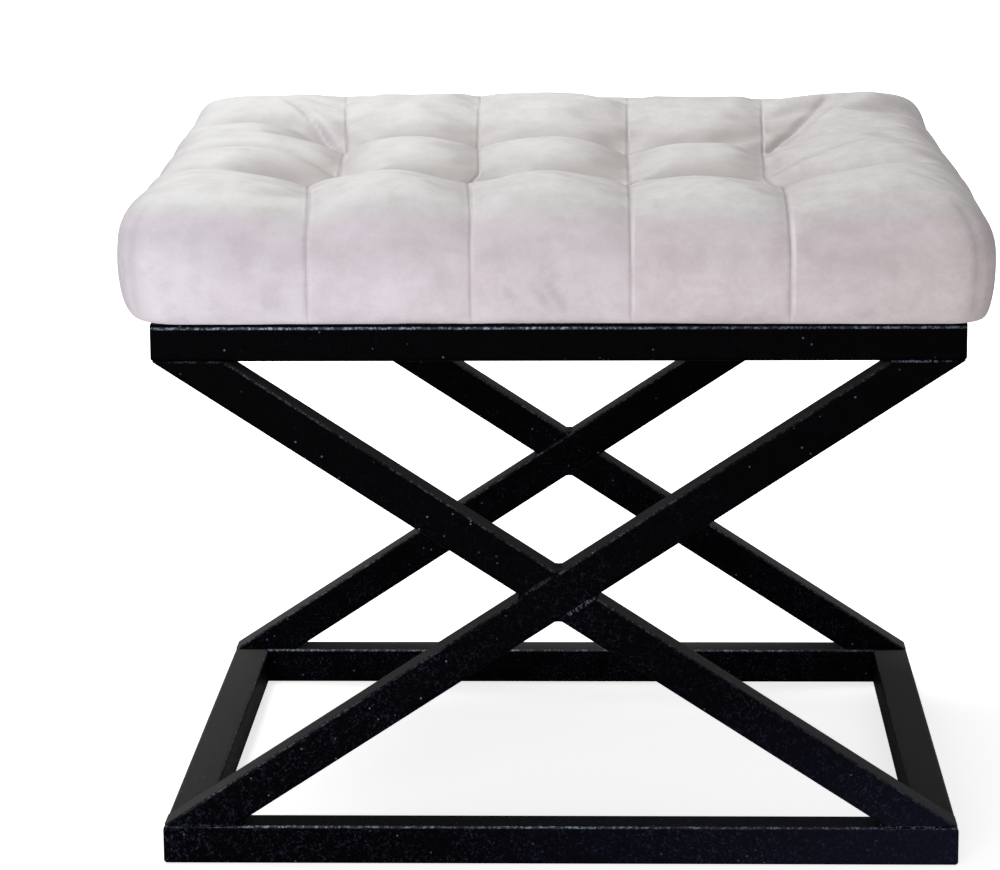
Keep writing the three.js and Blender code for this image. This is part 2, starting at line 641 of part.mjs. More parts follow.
function seat() {
  const group = new THREE.Group();
  const throughHoles = boltPlaces().map(([, x, y]) =>
    drill(BOLT_HOLE, x, y, FRAME_HEIGHT - CUT_OVERRUN, BOARD_LEVEL + CUT_OVERRUN, HIDDEN_FACETS),
  );
  const cutAll = (solid, cutters) => cutters.reduce((left, cutter) => left.subtract(cutter), solid);

  // Dust cover: thin black cloth over the whole underside, pierced by the bolts
  const dustCover = plate(
    FRAME_WIDTH - 2 * DUST_COVER_INSET,
    FRAME_DEPTH - 2 * DUST_COVER_INSET,
    BOARD_CORNER_RADIUS,
    FRAME_HEIGHT,
    DUST_COVER_THICKNESS,
  );
  group.add(piece("dust_cover", geometryOf(cutAll(dustCover, throughHoles)), materials.dustCover));

  // Velvet cover: a shell, open below inside its turned-under hem
  const hemOpening = plate(
    FRAME_WIDTH - 2 * HEM_WIDTH,
    FRAME_DEPTH - 2 * HEM_WIDTH,
    BOARD_CORNER_RADIUS,
    HEM_LEVEL - CUT_OVERRUN,
    COVER_THICKNESS + 2 * CUT_OVERRUN,
  );
  const hollow = padSolid(COVER_THICKNESS, BOARD_LEVEL, INNER_SKIN);
  const cover = padSolid(0, HEM_LEVEL, OUTER_SKIN).subtract(hollow).subtract(hemOpening);
  group.add(piece("seat_cover", geometryOf(cutAll(cover, throughHoles)), materials.velvet));

  // Plywood board, drilled for the ties and the tee nuts, its corners kept inside the cover's
  const tieHole = TIE_DIAMETER + TIE_BOARD_CLEARANCE;
  const discSeat = TIE_DISC_DIAMETER + 2 * FIT_GAP;
  const discSeatTop = BOARD_LEVEL + TIE_DISC_THICKNESS + FIT_GAP;
  const boardCuts = tuftPlaces().flatMap(([x, y]) => [
    drill(tieHole, x, y, BOARD_LEVEL - CUT_OVERRUN, BOARD_TOP + CUT_OVERRUN, HIDDEN_FACETS),
    drill(discSeat, x, y, BOARD_LEVEL - CUT_OVERRUN, discSeatTop, HIDDEN_FACETS),
  ]);
  for (const [, x, y] of boltPlaces()) {
    const barrelHole = TEE_BARREL_DIAMETER + 2 * FIT_GAP;
    boardCuts.push(drill(barrelHole, x, y, BOARD_LEVEL - CUT_OVERRUN, BOARD_TOP + CUT_OVERRUN));
    boardCuts.push(...prongs(FIT_GAP).map((slot) => slot.translate(x, y, BOARD_TOP)));
  }
  const withinCover = padSolid(COVER_THICKNESS + FIT_GAP, BOARD_LEVEL, INNER_SKIN);
  const blank = plate(BOARD_WIDTH, BOARD_DEPTH, BOARD_CORNER_RADIUS, BOARD_LEVEL, BOARD_THICKNESS);
  const board = blank.intersect(withinCover);
  group.add(piece("seat_board", geometryOf(cutAll(board, boardCuts)), materials.plywood));

  // Foam pad on the board, holed for the ties and relieved over the tee nuts
  const foamCuts = tuftPlaces().map(([x, y]) =>
    drill(TIE_DIAMETER + TIE_FOAM_CLEARANCE, x, y, BOARD_LEVEL, PAD_TOP, HIDDEN_FACETS),
  );
  for (const [, x, y] of boltPlaces()) {
    const relief = TEE_FLANGE_DIAMETER + 4 * FIT_GAP;
    foamCuts.push(drill(relief, x, y, BOARD_LEVEL, BOARD_TOP + TEE_FLANGE_THICKNESS + FIT_GAP));
  }
  const foam = padSolid(COVER_THICKNESS + FIT_GAP, BOARD_TOP, INNER_SKIN);
  group.add(piece("foam_pad", geometryOf(cutAll(foam, foamCuts)), materials.foam));

  const halfWidth = PAD_HALF_WIDTH - SHOULDER_RADIUS;
  const halfDepth = PAD_HALF_DEPTH - SHOULDER_RADIUS;
  tuftPlaces().forEach(([x, y], i) => {
    const row = i < TUFT_COLUMNS ? "front" : "rear";
    const top = crownHeight(x, y, halfWidth, halfDepth) - COVER_THICKNESS - FIT_GAP;
    const made = piece(`tuft_tie_${row}_${(i % TUFT_COLUMNS) + 1}`, tie(top), materials.nylon);
    made.position.set(x, y, 0);
    group.add(made);
  });

  for (const [corner, x, y] of boltPlaces()) {
    const nut = piece(`tee_nut_${corner}`, geometryOf(teeNut()), materials.zinc);
    nut.position.set(x, y, BOARD_TOP);
    const ringWasher = piece(`seat_washer_${corner}`, washer(), materials.zinc);
    ringWasher.position.set(x, y, BOLT_BEARING_LEVEL);
    const screw = piece(`seat_bolt_${corner}`, bolt(), materials.zinc);
    screw.position.set(x, y, BOLT_BEARING_LEVEL);
    group.add(nut, ringWasher, screw);
  }
  return group;
}

const stool = new THREE.Group();
const upperRing = ring("top", RING_LEVEL);
drillSeatBoltHoles(upperRing);
stool.add(
  ring("base", BASE_LEVEL),
  upperRing,
  crossedLegs("front", HALF_TUBE - FRAME_DEPTH / 2),
  crossedLegs("rear", FRAME_DEPTH / 2 - HALF_TUBE),
  seat(),
);

export default stool;
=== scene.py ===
import math
import bmesh
import bpy
import numpy as np
from mathutils import Euler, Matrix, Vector, noise


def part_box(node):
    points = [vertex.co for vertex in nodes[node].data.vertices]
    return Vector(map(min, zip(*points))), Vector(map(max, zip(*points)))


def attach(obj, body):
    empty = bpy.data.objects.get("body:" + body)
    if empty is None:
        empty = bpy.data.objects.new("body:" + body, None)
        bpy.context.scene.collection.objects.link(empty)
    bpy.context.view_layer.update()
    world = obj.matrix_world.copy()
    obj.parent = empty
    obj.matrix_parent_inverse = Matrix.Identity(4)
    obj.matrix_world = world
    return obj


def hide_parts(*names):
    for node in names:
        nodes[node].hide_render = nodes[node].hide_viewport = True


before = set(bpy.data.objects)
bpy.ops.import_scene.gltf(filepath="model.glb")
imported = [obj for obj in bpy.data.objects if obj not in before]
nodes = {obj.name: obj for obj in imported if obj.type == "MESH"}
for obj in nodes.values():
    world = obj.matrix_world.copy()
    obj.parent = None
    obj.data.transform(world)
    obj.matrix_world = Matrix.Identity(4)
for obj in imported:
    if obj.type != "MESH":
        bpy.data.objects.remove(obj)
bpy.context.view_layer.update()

# Square tubes
# Twelve members of square steel tube: two mitred rings, and two through legs
# with their half legs. They are blasted and powder coated black in one piece,
# and the coat is fine-grained. The glints along its edges are painted highlights.
MM = 0.001
COAT_SCALE = 620.0
GLINT_LINE_LEVEL = 342.8
COAT_BLACK = (0.0006, 0.0006, 0.0010, 1)
COAT_BLUE = (0.0068, 0.0072, 0.0150, 1)
COAT_GRAIN = (0.022, 0.024, 0.046, 1)
COAT_TOP_SHEEN = (0.058, 0.059, 0.057, 1)
COAT_GLINT = (0.70, 0.80, 1.0, 1)


def start_material(name):
    material = bpy.data.materials.new(name)
    material.use_nodes = True
    tree = material.node_tree
    return material, tree, tree.nodes["Principled BSDF"]


def fill_inputs(tree, node, inputs):
    for key, value in inputs.items():
        if isinstance(value, bpy.types.NodeSocket):
            tree.links.new(value, node.inputs[key])
        else:
            node.inputs[key].default_value = value


def add_node(tree, kind, inputs=None, **settings):
    made = tree.nodes.new("ShaderNode" + kind)
    for key, value in settings.items():
        setattr(made, key, value)
    fill_inputs(tree, made, inputs or {})
    return made


def maths(tree, operation, first, second=0.0, third=0.0, clamp=False):
    made = add_node(tree, "Math", {0: first, 1: second, 2: third}, operation=operation, use_clamp=clamp)
    return made.outputs[0]


def times(tree, first, second, clamp=False):
    return maths(tree, "MULTIPLY", first, second, clamp=clamp)


def scaled(tree, value, by, plus):
    return maths(tree, "MULTIPLY_ADD", value, by, plus)


def minus(tree, first, second):
    return maths(tree, "SUBTRACT", first, second)


def parts(tree, vector):
    return add_node(tree, "SeparateXYZ", {0: vector}).outputs


def noise_texture(tree, where, scale, detail=2.0, roughness=0.5, distortion=0.0):
    inputs = {"Vector": where, "Scale": scale, "Detail": detail}
    inputs.update({"Roughness": roughness, "Distortion": distortion})
    return add_node(tree, "TexNoise", inputs).outputs[0]


def blend_colours(tree, share, first, second, mode="MIX"):
    mix = add_node(tree, "Mix", data_type="RGBA", blend_type=mode)
    fill_inputs(tree, mix, {0: share, 6: first, 7: second})
    return mix.outputs[2]


def ramp(tree, value, low, high):
    return add_node(tree, "MapRange", {0: value, 1: low, 2: high, 3: 0.0, 4: 1.0}).outputs[0]


def start_group(name, inputs, outputs):
    group = bpy.data.node_groups.new(name, "ShaderNodeTree")
    for label, kind, value in inputs:
        socket = group.interface.new_socket(name=label, in_out="INPUT", socket_type="NodeSocket" + kind)
        socket.default_value = value
    for label, kind in outputs:
        group.interface.new_socket(name=label, in_out="OUTPUT", socket_type="NodeSocket" + kind)
    return group, group.nodes.new("NodeGroupInput"), group.nodes.new("NodeGroupOutput")


def place_group(tree, group, inputs):
    made = tree.nodes.new("ShaderNodeGroup")
    made.node_tree = group
    fill_inputs(tree, made, inputs)
    return made


def bumped(tree, height, strength, distance):
    return add_node(tree, "Bump", {"Strength": strength, "Distance": distance, "Height": height}).outputs[0]


coat_grain, asked, given = start_group(
    "coat_grain", [("Scale", "Float", 700.0)], [("Height", "Float"), ("Fleck", "Float"), ("Spark", "Float")])
where = add_node(coat_grain, "TexCoord").outputs["Object"]
scale = asked.outputs["Scale"]
pebbles = add_node(coat_grain, "TexVoronoi", {"Vector": where, "Scale": scale}, feature="SMOOTH_F1")
fine = noise_texture(coat_grain, where, scale, 2.0, 0.7)
wide = noise_texture(coat_grain, where, 22.0)
clumps = noise_texture(coat_grain, where, 130.0, 3.0, 0.7)
height = maths(coat_grain, "ADD", times(coat_grain, pebbles.outputs["Distance"], 0.5), fine)
# The flecks show more strongly low down, towards the floor.
towards_floor = scaled(coat_grain, ramp(coat_grain, parts(coat_grain, where)[2], 0.26, 0.03), 0.92, 0.08)
patchy = times(coat_grain, scaled(coat_grain, ramp(coat_grain, wide, 0.35, 0.62), 0.7, 0.3), towards_floor)
patchy = times(coat_grain, patchy, scaled(coat_grain, ramp(coat_grain, clumps, 0.38, 0.60), 1.3, 0.1))
fleck = times(coat_grain, ramp(coat_grain, fine, 0.52, 0.72), patchy)
# Painted highlights: sparse bright dots where the grain would glint.
scattered = add_node(coat_grain, "TexVoronoi", {"Vector": where, "Scale": times(coat_grain, scale, 0.30)})
drawn = add_node(coat_grain, "SeparateColor", {0: scattered.outputs["Color"]}).outputs[0]
lone = ramp(coat_grain, drawn, 0.84, 0.94)
spark = times(coat_grain, ramp(coat_grain, scattered.outputs["Distance"], 0.15, 0.07), lone)
fill_inputs(coat_grain, given, {"Height": height, "Fleck": fleck, "Spark": spark})

edge_glints, asked, given = start_group(
    "edge_glints", [("Along Y", "Float", 0.0), ("Line Level", "Float", 0.0), ("Scale", "Float", 420.0)],
    [("Mask", "Float")])
coords = add_node(edge_glints, "TexCoord")
where = coords.outputs["Object"]
place = parts(edge_glints, where)
facing = parts(edge_glints, coords.outputs["Normal"])
sx, sy, sz = [times(edge_glints, facing[k], facing[k]) for k in range(3)]
across = times(edge_glints, times(edge_glints, sy, minus(edge_glints, 1.0, sy)), 4.0)
turned = times(edge_glints, times(edge_glints, sx, sz), 4.0)
along_y = asked.outputs["Along Y"]
corner = add_node(edge_glints, "Mix", {0: along_y, 2: across, 3: turned}, data_type="FLOAT").outputs[0]
# Painted highlights: a glint mask on the rounded upper edges, and on the top rails a painted glint line at
# Line Level.
upper = times(edge_glints, ramp(edge_glints, corner, 0.45, 0.90), ramp(edge_glints, facing[2], 0.2, 0.5))
from_line = maths(edge_glints, "ABSOLUTE", minus(edge_glints, place[2], asked.outputs["Line Level"]))
band = times(edge_glints, ramp(edge_glints, from_line, 0.0010, 0.0004), ramp(edge_glints, sy, 0.3, 0.6))
upper = maths(edge_glints, "MAXIMUM", upper, band)
# The painted glints fade towards the right, away from the light.
upper = times(edge_glints, upper, ramp(edge_glints, place[0], 0.45, -0.15))
dots = noise_texture(edge_glints, where, asked.outputs["Scale"], 2.0, 0.8)
glint_patches = noise_texture(edge_glints, where, 14.0, 3.0)
line = scaled(edge_glints, ramp(edge_glints, dots, 0.50, 0.60), 0.85, 0.15)
mask = times(edge_glints, line, scaled(edge_glints, ramp(edge_glints, glint_patches, 0.38, 0.60), 0.7, 0.3))
fill_inputs(edge_glints, given, {"Mask": times(edge_glints, mask, upper)})


def powder_coat(name, along_y, glint_strength, front_top_sheen, line_level=-1.0):
    material, tree, shader = start_material(name)
    grain = place_group(tree, coat_grain, {"Scale": COAT_SCALE})
    glints = place_group(tree, edge_glints, {"Along Y": along_y, "Line Level": line_level})
    coords = add_node(tree, "TexCoord")
    spot = parts(tree, coords.outputs["Object"])
    low_front = times(tree, ramp(tree, spot[2], 0.12, 0.0), ramp(tree, spot[1], 0.10, -0.10))
    low_right = times(tree, ramp(tree, spot[0], -0.10, 0.25), low_front)
    colour = blend_colours(tree, low_right, COAT_BLACK, COAT_BLUE)
    colour = blend_colours(tree, grain.outputs["Fleck"], colour, COAT_GRAIN)
    # Painted reflection: faces that lie upwards are painted lighter, more so further back.
    lies_up = ramp(tree, parts(tree, coords.outputs["Normal"])[2], 0.70, 0.80)
    further_back = ramp(tree, spot[1], -0.22, 0.22)
    settled = times(tree, lies_up, scaled(tree, further_back, 1 - front_top_sheen, front_top_sheen))
    colour = blend_colours(tree, settled, colour, COAT_TOP_SHEEN)
    # Painted highlights: the spark dots in COAT_GLINT.
    colour = blend_colours(tree, times(tree, grain.outputs["Spark"], 0.16), colour, COAT_GLINT)
    # Painted edge highlights in COAT_GLINT, stronger further back.
    glint_share = scaled(tree, further_back, glint_strength * 0.8, glint_strength)
    colour = blend_colours(tree, times(tree, glints.outputs["Mask"], glint_share), colour, COAT_GLINT)
    fill_inputs(tree, shader, {
        "Base Color": colour,
        "Roughness": scaled(tree, grain.outputs["Fleck"], -0.14, 0.5),
        "Specular IOR Level": 0.012,
        "Normal": bumped(tree, grain.outputs["Height"], 0.55, 0.0004)})
    return material


# One powder coat in four copies, which differ in how much painted edge highlight and painted top reflection
# they carry.
base_coat = powder_coat("powder_coat_black_base_rails", 0.0, 0.50, 0.11)
top_coat = powder_coat("powder_coat_black_top_rails", 0.0, 0.62, 0.11, GLINT_LINE_LEVEL * MM)
leg_coat = powder_coat("powder_coat_black_legs", 0.0, 0.14, 0.8)
side_coat = powder_coat("powder_coat_black_side_rails", 1.0, 0.15, 0.7)


def give_finish(node_name, material):
    for slot in nodes[node_name].material_slots:
        slot.material = material


for level, coat in (("base", base_coat), ("top", top_coat)):
    for side in ("front", "rear"):
        give_finish(level + "_" + side + "_rail", coat)
    for side in ("left", "right"):
        give_finish(level + "_" + side + "_rail", side_coat)
for side in ("front", "rear"):
    for leg in ("through_leg", "upper_half_leg", "lower_half_leg"):
        give_finish(side + "_" + leg, leg_coat)

# Welds
# Fillet beads inside the corners, low beads across the front and rear faces
# where legs meet rails and each other, and mitres filled and ground flush. They
# are coated with the tubes, and the ripples of the weld pool still show.
BEAD_WIDTH, BEAD_HEIGHT, BEAD_RIPPLE = 4.2, 0.45, 0.25
BEAD_PITCH = 2.1
BEAD_DRIFT, BEAD_SINK, BEAD_BACK = 0.35, 0.12, 0.2
UPPER_SEAM, LOWER_SEAM = ((-25.1, 172.3), (-0.3, 188.6)), ((0.4, 158.3), (25.2, 174.6))
END_BEAD_WIDTH = 2.2
END_BEAD_FROM, END_BEAD_TO = 198.0, 246.5
FOOT_BEAD_LEVEL, HEAD_BEAD_LEVEL = 25.15, 321.85
TUBE_FRONT, TUBE_REAR, TUBE_END = -230.0, 230.0, 250.0
TUBE_SIZE, TUBE_WALL, TUBE_ROUND = 25.0, 1.5, 2.5
TOP_RING_BASE = 322.0
MITRE_HALF_GAP, MITRE_SINK = 0.145, 0.03
BEAD_SHINE = (0.12, 0.13, 0.18, 1)

bead_coat, tree, shader = start_material("powder_coat_over_weld")
grain = place_group(tree, coat_grain, {"Scale": COAT_SCALE})
where = add_node(tree, "TexCoord").outputs["Object"]
spot = parts(tree, where)
wobble = noise_texture(tree, where, 160.0)
phase = scaled(tree, spot[1], 2 * math.pi / (BEAD_PITCH * MM), times(tree, wobble, 5.0))
ripple = maths(tree, "ABSOLUTE", maths(tree, "SINE", phase))
# Painted highlights on the ripple crests, dimmer on the left.
rightwards = scaled(tree, ramp(tree, spot[0], -0.004, 0.004), 0.75, 0.25)
shine = times(tree, times(tree, ramp(tree, ripple, 0.80, 1.0), ramp(tree, wobble, 0.46, 0.62)), rightwards)
colour = blend_colours(tree, grain.outputs["Fleck"], COAT_BLACK, COAT_GRAIN)
height = maths(tree, "ADD", times(tree, ripple, 2.0), grain.outputs["Height"])
fill_inputs(tree, shader, {
    "Base Color": blend_colours(tree, shine, colour, BEAD_SHINE),
    "Roughness": 0.42,
    "Specular IOR Level": 0.03,
    "Normal": bumped(tree, height, 0.7, 0.0005)})
for name in nodes:
    if name.endswith("_weld"):
        give_finish(name, bead_coat)


def add_object(name, data):
    thing = bpy.data.objects.new(name, data)
    bpy.context.scene.collection.objects.link(thing)
    return thing


def smooth_piece(name, mesh_maker, material):
    mesh = bpy.data.meshes.new(name)
    mesh_maker.to_mesh(mesh)
    mesh_maker.free()
    for face in mesh.polygons:
        face.use_smooth = True
    piece = add_object(name, mesh)
    mesh.materials.append(material)
    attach(piece, "root")
    return piece


def butt_bead(name, start, end, face_y, outwards, width=BEAD_WIDTH):
    run = Vector((end[0] - start[0], 0, end[1] - start[1]))
    length = run.length
    run.normalize()
    side = Vector((-run.z, 0, run.x))
    shape = bmesh.new()
    bmesh.ops.create_grid(shape, x_segments=60, y_segments=8, size=0.5)
    for vert in shape.verts:
        s, t = vert.co.x + 0.5, vert.co.y * 2
        swell = math.sin(math.pi * min(1, max(0, s))) ** 0.35
        pulse = 1 + BEAD_RIPPLE * math.sin(2 * math.pi * s * length / BEAD_PITCH - 1.6 * t * t)
        drift = BEAD_DRIFT * noise.noise(Vector((s * length * 0.25, face_y, start[0])))
        rise = BEAD_HEIGHT * swell * pulse * math.sqrt(max(0, 1 - t * t)) - BEAD_SINK
        place = Vector((start[0], 0, start[1])) + run * (s * length) + side * (t * width / 2 * swell + drift)
        place.y = face_y + outwards * rise
        vert.co = place * MM
    back = bmesh.ops.extrude_face_region(shape, geom=shape.faces[:])
    for vert in [g for g in back["geom"] if isinstance(g, bmesh.types.BMVert)]:
        vert.co.y = (face_y - outwards * BEAD_BACK) * MM
    bmesh.ops.recalc_face_normals(shape, faces=shape.faces)
    smooth_piece(name, shape, bead_coat)


for side, face_y, outwards in (("front", TUBE_FRONT, -1), ("rear", TUBE_REAR, 1)):
    butt_bead(side + "_upper_butt_bead", *UPPER_SEAM, face_y, outwards)
    butt_bead(side + "_lower_butt_bead", *LOWER_SEAM, face_y, outwards)
    for end, level in (("foot", FOOT_BEAD_LEVEL), ("head", HEAD_BEAD_LEVEL)):
        for hand, sign in (("left", -1), ("right", 1)):
            butt_bead("_".join((side, hand, end, "bead")), (sign * END_BEAD_FROM, level),
                      (sign * END_BEAD_TO, level), face_y, outwards, END_BEAD_WIDTH)


def mitre_fill(name, corner_x, corner_y, base):
    shape = bmesh.new()
    loops = []
    sign_x, sign_y = math.copysign(1, corner_x), math.copysign(1, corner_y)
    outside = (TUBE_SIZE / 2 - MITRE_SINK, TUBE_ROUND)
    inside = (TUBE_SIZE / 2 - TUBE_WALL, TUBE_ROUND - TUBE_WALL)
    for across in (-MITRE_HALF_GAP, MITRE_HALF_GAP):
        for reach, radius in (outside, inside):
            loop = []
            for k in range(20):
                turn = math.radians(90 * (k // 5) + 22.5 * (k % 5))
                centre = math.radians(90 * (k // 5) + 45)
                inner = (reach - radius) * math.sqrt(2)
                depth = TUBE_SIZE / 2 + inner * math.cos(centre) + radius * math.cos(turn)
                height = TUBE_SIZE / 2 + inner * math.sin(centre) + radius * math.sin(turn)
                x = corner_x - sign_x * depth + sign_x * across
                y = corner_y - sign_y * depth - sign_y * across
                loop.append(shape.verts.new(Vector((x, y, base + height)) * MM))
            loops.append(loop)
    for first, second in ((0, 1), (1, 3), (3, 2), (2, 0)):
        for k in range(20):
            a, b = loops[first], loops[second]
            shape.faces.new((a[k], a[(k + 1) % 20], b[(k + 1) % 20], b[k]))
    bmesh.ops.recalc_face_normals(shape, faces=shape.faces)
    filled = smooth_piece(name, shape, leg_coat)
    for face in filled.data.polygons:
        face.use_smooth = False


for level, base in (("base", 0.0), ("top", TOP_RING_BASE)):
    for side, corner_y in (("front", TUBE_FRONT), ("rear", TUBE_REAR)):
        for hand, corner_x in (("left", -TUBE_END), ("right", TUBE_END)):
            mitre_fill("_".join((level, side, hand, "mitre_weld")), corner_x, corner_y, base)

# Dust cover
# A sheet of black non-woven cloth under the seat board. It is cut with a
# turning all round, the turning is folded in, and it is stapled to the board.
CLOTH_LOW = 347.0
CLOTH_HALF_X, CLOTH_HALF_Y = 244.0, 224.0
CLOTH_THICKNESS = 0.4
TURNING, FOLD_LIFT = 14.0, 0.5
HELD_EDGE, HELD_FADE = 25.0, 60.0
CLOTH_CLEARANCE, RIPPLE_HEIGHT = 0.02, 0.12
CLOTH_BLACK, CLOTH_GREY = (0.011, 0.011, 0.012, 1), (0.034, 0.034, 0.036, 1)
DIMPLE_BLACK = (0.006, 0.006, 0.007, 1)

fibres, asked, given = start_group(
    "cloth_fibres", [("Scale", "Float", 600.0), ("Stretch", "Float", 6.0)],
    [("Height", "Float"), ("Shade", "Float")])
where = add_node(fibres, "TexCoord").outputs["Object"]
scale, stretch = asked.outputs["Scale"], asked.outputs["Stretch"]
upright = add_node(fibres, "CombineXYZ", {0: 1.0, 1: 1.0, 2: stretch}).outputs[0]
flatwise = add_node(fibres, "CombineXYZ", {0: stretch, 1: stretch, 2: 1.0}).outputs[0]
upright = add_node(fibres, "VectorMath", {0: where, 1: upright}, operation="MULTIPLY").outputs[0]
flatwise = add_node(fibres, "VectorMath", {0: where, 1: flatwise}, operation="MULTIPLY").outputs[0]
first = noise_texture(fibres, upright, scale, 3.0, 0.6, 0.3)
second = noise_texture(fibres, flatwise, times(fibres, scale, 0.5))
height = maths(fibres, "ADD", times(fibres, first, 0.65), times(fibres, second, 0.35))
fill_inputs(fibres, given, {"Height": height, "Shade": first})

cloth, tree, shader = start_material("dust_cloth_black")
where = add_node(tree, "TexCoord").outputs["Object"]
web = place_group(tree, fibres, {"Scale": 900.0, "Stretch": 1.0})
dimples = add_node(tree, "TexVoronoi", {"Vector": where, "Scale": 480.0, "Randomness": 0.12})
pressed = ramp(tree, dimples.outputs["Distance"], 0.18, 0.42)
colour = blend_colours(tree, web.outputs["Shade"], CLOTH_BLACK, CLOTH_GREY)
height = maths(tree, "ADD", pressed, times(tree, web.outputs["Height"], 0.6))
fill_inputs(tree, shader, {
    "Base Color": blend_colours(tree, pressed, DIMPLE_BLACK, colour),
    "Roughness": 0.85,
    "Specular IOR Level": 0.2,
    "Normal": bumped(tree, height, 0.5, 0.0003)})


def rim_of(mesh_maker):
    return [edge for edge in mesh_maker.edges if edge.is_boundary]


def grow_rim(mesh_maker, edges):
    grown = bmesh.ops.extrude_edge_only(mesh_maker, edges=edges)["geom"]
    verts = [piece for piece in grown if isinstance(piece, bmesh.types.BMVert)]
    return verts, [piece for piece in grown if isinstance(piece, bmesh.types.BMEdge) and piece.is_boundary]


shape = bmesh.new()
bmesh.ops.create_grid(shape, x_segments=88, y_segments=80, size=1.0)
for vert in shape.verts:
    x, y = vert.co.x * CLOTH_HALF_X, vert.co.y * CLOTH_HALF_Y
    from_side, from_end = CLOTH_HALF_X - HELD_EDGE - abs(x), CLOTH_HALF_Y - HELD_EDGE - abs(y)
    loose = min(1, from_side / HELD_FADE, from_end / HELD_FADE)
    ripple = noise.noise(Vector((x * 0.012, y * 0.03, 3.0))) if loose > 0 else 0
    z = CLOTH_LOW + CLOTH_CLEARANCE + max(0, loose) * RIPPLE_HEIGHT * (1 + ripple)
    vert.co = Vector((x, y, z)) * MM
edges = rim_of(shape)
for inwards in (0.0, TURNING / 2, TURNING):
    turned_in, edges = grow_rim(shape, edges)
    for vert in turned_in:
        vert.co.x = math.copysign(min(abs(vert.co.x), (CLOTH_HALF_X - inwards) * MM), vert.co.x)
        vert.co.y = math.copysign(min(abs(vert.co.y), (CLOTH_HALF_Y - inwards) * MM), vert.co.y)
        vert.co.z = (CLOTH_LOW + FOLD_LIFT) * MM
bmesh.ops.recalc_face_normals(shape, faces=shape.faces)
dust_sheet = smooth_piece("dust_cover_cloth", shape, cloth)
wall = dust_sheet.modifiers.new("cloth thickness", "SOLIDIFY")
wall.thickness = CLOTH_THICKNESS * MM
wall.offset = 0
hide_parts("dust_cover")

# Seat board
# Fifteen millimetres of birch plywood: pale face veneers with a long flame
# grain, and light and dark plies showing round the edge. It carries the foam.
PLY_THICKNESS = 1.36
VENEER_DARK, VENEER_PALE = (0.60, 0.43, 0.26, 1), (0.72, 0.56, 0.37, 1)
PLY_DARK, PLY_PALE = (0.42, 0.27, 0.15, 1), (0.68, 0.50, 0.32, 1)


def mapped(tree, where, **inputs):
    return add_node(tree, "Mapping", {"Vector": where, **inputs}).outputs[0]


ply, tree, shader = start_material("birch_plywood")
coords = add_node(tree, "TexCoord")
where = coords.outputs["Object"]
rings = noise_texture(tree, mapped(tree, where, Scale=(4.0, 60.0, 60.0)), 3.0, 6.0, 0.6, 1.2)
pore = noise_texture(tree, mapped(tree, where, Scale=(40.0, 1100.0, 1100.0)), 1.0)
face = blend_colours(tree, ramp(tree, rings, 0.35, 0.65), VENEER_DARK, VENEER_PALE)
layer = maths(tree, "SINE", times(tree, parts(tree, where)[2], math.pi / (PLY_THICKNESS * MM)))
plies = blend_colours(tree, ramp(tree, layer, -0.2, 0.2), PLY_DARK, PLY_PALE)
side_on = maths(tree, "ABSOLUTE", parts(tree, coords.outputs["Normal"])[2])
fill_inputs(tree, shader, {
    "Base Color": blend_colours(tree, ramp(tree, side_on, 0.4, 0.6), plies, face),
    "Roughness": scaled(tree, pore, 0.2, 0.5),
    "Normal": bumped(tree, pore, 0.25, 0.0003)})
give_finish("seat_board", ply)

# Bolts, washers and tee nuts
# Zinc plated steel: four M6 button head bolts and washers below the side
# rails, and four pronged tee nuts driven into the board from above.
ZINC_DARK, ZINC_PALE, ZINC_DULL = (0.50, 0.52, 0.55, 1), (0.66, 0.67, 0.69, 1), (0.30, 0.30, 0.31, 1)
STEEL_DARK, STEEL_PALE = (0.36, 0.36, 0.37, 1), (0.60, 0.60, 0.62, 1)

zinc, tree, shader = start_material("zinc_plate")
where = add_node(tree, "TexCoord").outputs["Object"]
spangle = noise_texture(tree, where, 260.0, 3.0)
dull = noise_texture(tree, where, 90.0, 4.0)
scratch = place_group(tree, fibres, {"Scale": 1500.0, "Stretch": 9.0})
colour = blend_colours(tree, ramp(tree, spangle, 0.4, 0.6), ZINC_DARK, ZINC_PALE)
fill_inputs(tree, shader, {
    "Base Color": blend_colours(tree, ramp(tree, dull, 0.58, 0.75), colour, ZINC_DULL),
    "Metallic": 1.0,
    "Roughness": scaled(tree, dull, 0.35, 0.15),
    "Normal": bumped(tree, scratch.outputs["Height"], 0.2, 0.0001)})
for name in nodes:
    if name.startswith(("seat_bolt", "seat_washer", "tee_nut")):
        give_finish(name, zinc)

bare_wire, tree, shader = start_material("staple_wire")
tint = noise_texture(tree, add_node(tree, "TexCoord").outputs["Object"], 300.0)
fill_inputs(tree, shader, {
    "Base Color": blend_colours(tree, tint, STEEL_DARK, STEEL_PALE),
    "Metallic": 1.0,
    "Roughness": scaled(tree, tint, 0.3, 0.2)})

STAPLE_CROWN, STAPLE_WIDTH, STAPLE_RISE = 9.5, 1.1, 0.45
STAPLE_PITCH, STAPLE_INSET, STAPLE_FROM_CORNER = 61.0, 31.5, 40
STAPLE_DROP, STAPLE_ROUND = 0.3, 0.15


def staple_row(half_length):
    reach = half_length - STAPLE_FROM_CORNER
    count = int(2 * reach / STAPLE_PITCH)
    return [-half_length + STAPLE_FROM_CORNER + k * 2 * reach / count for k in range(count + 1)]


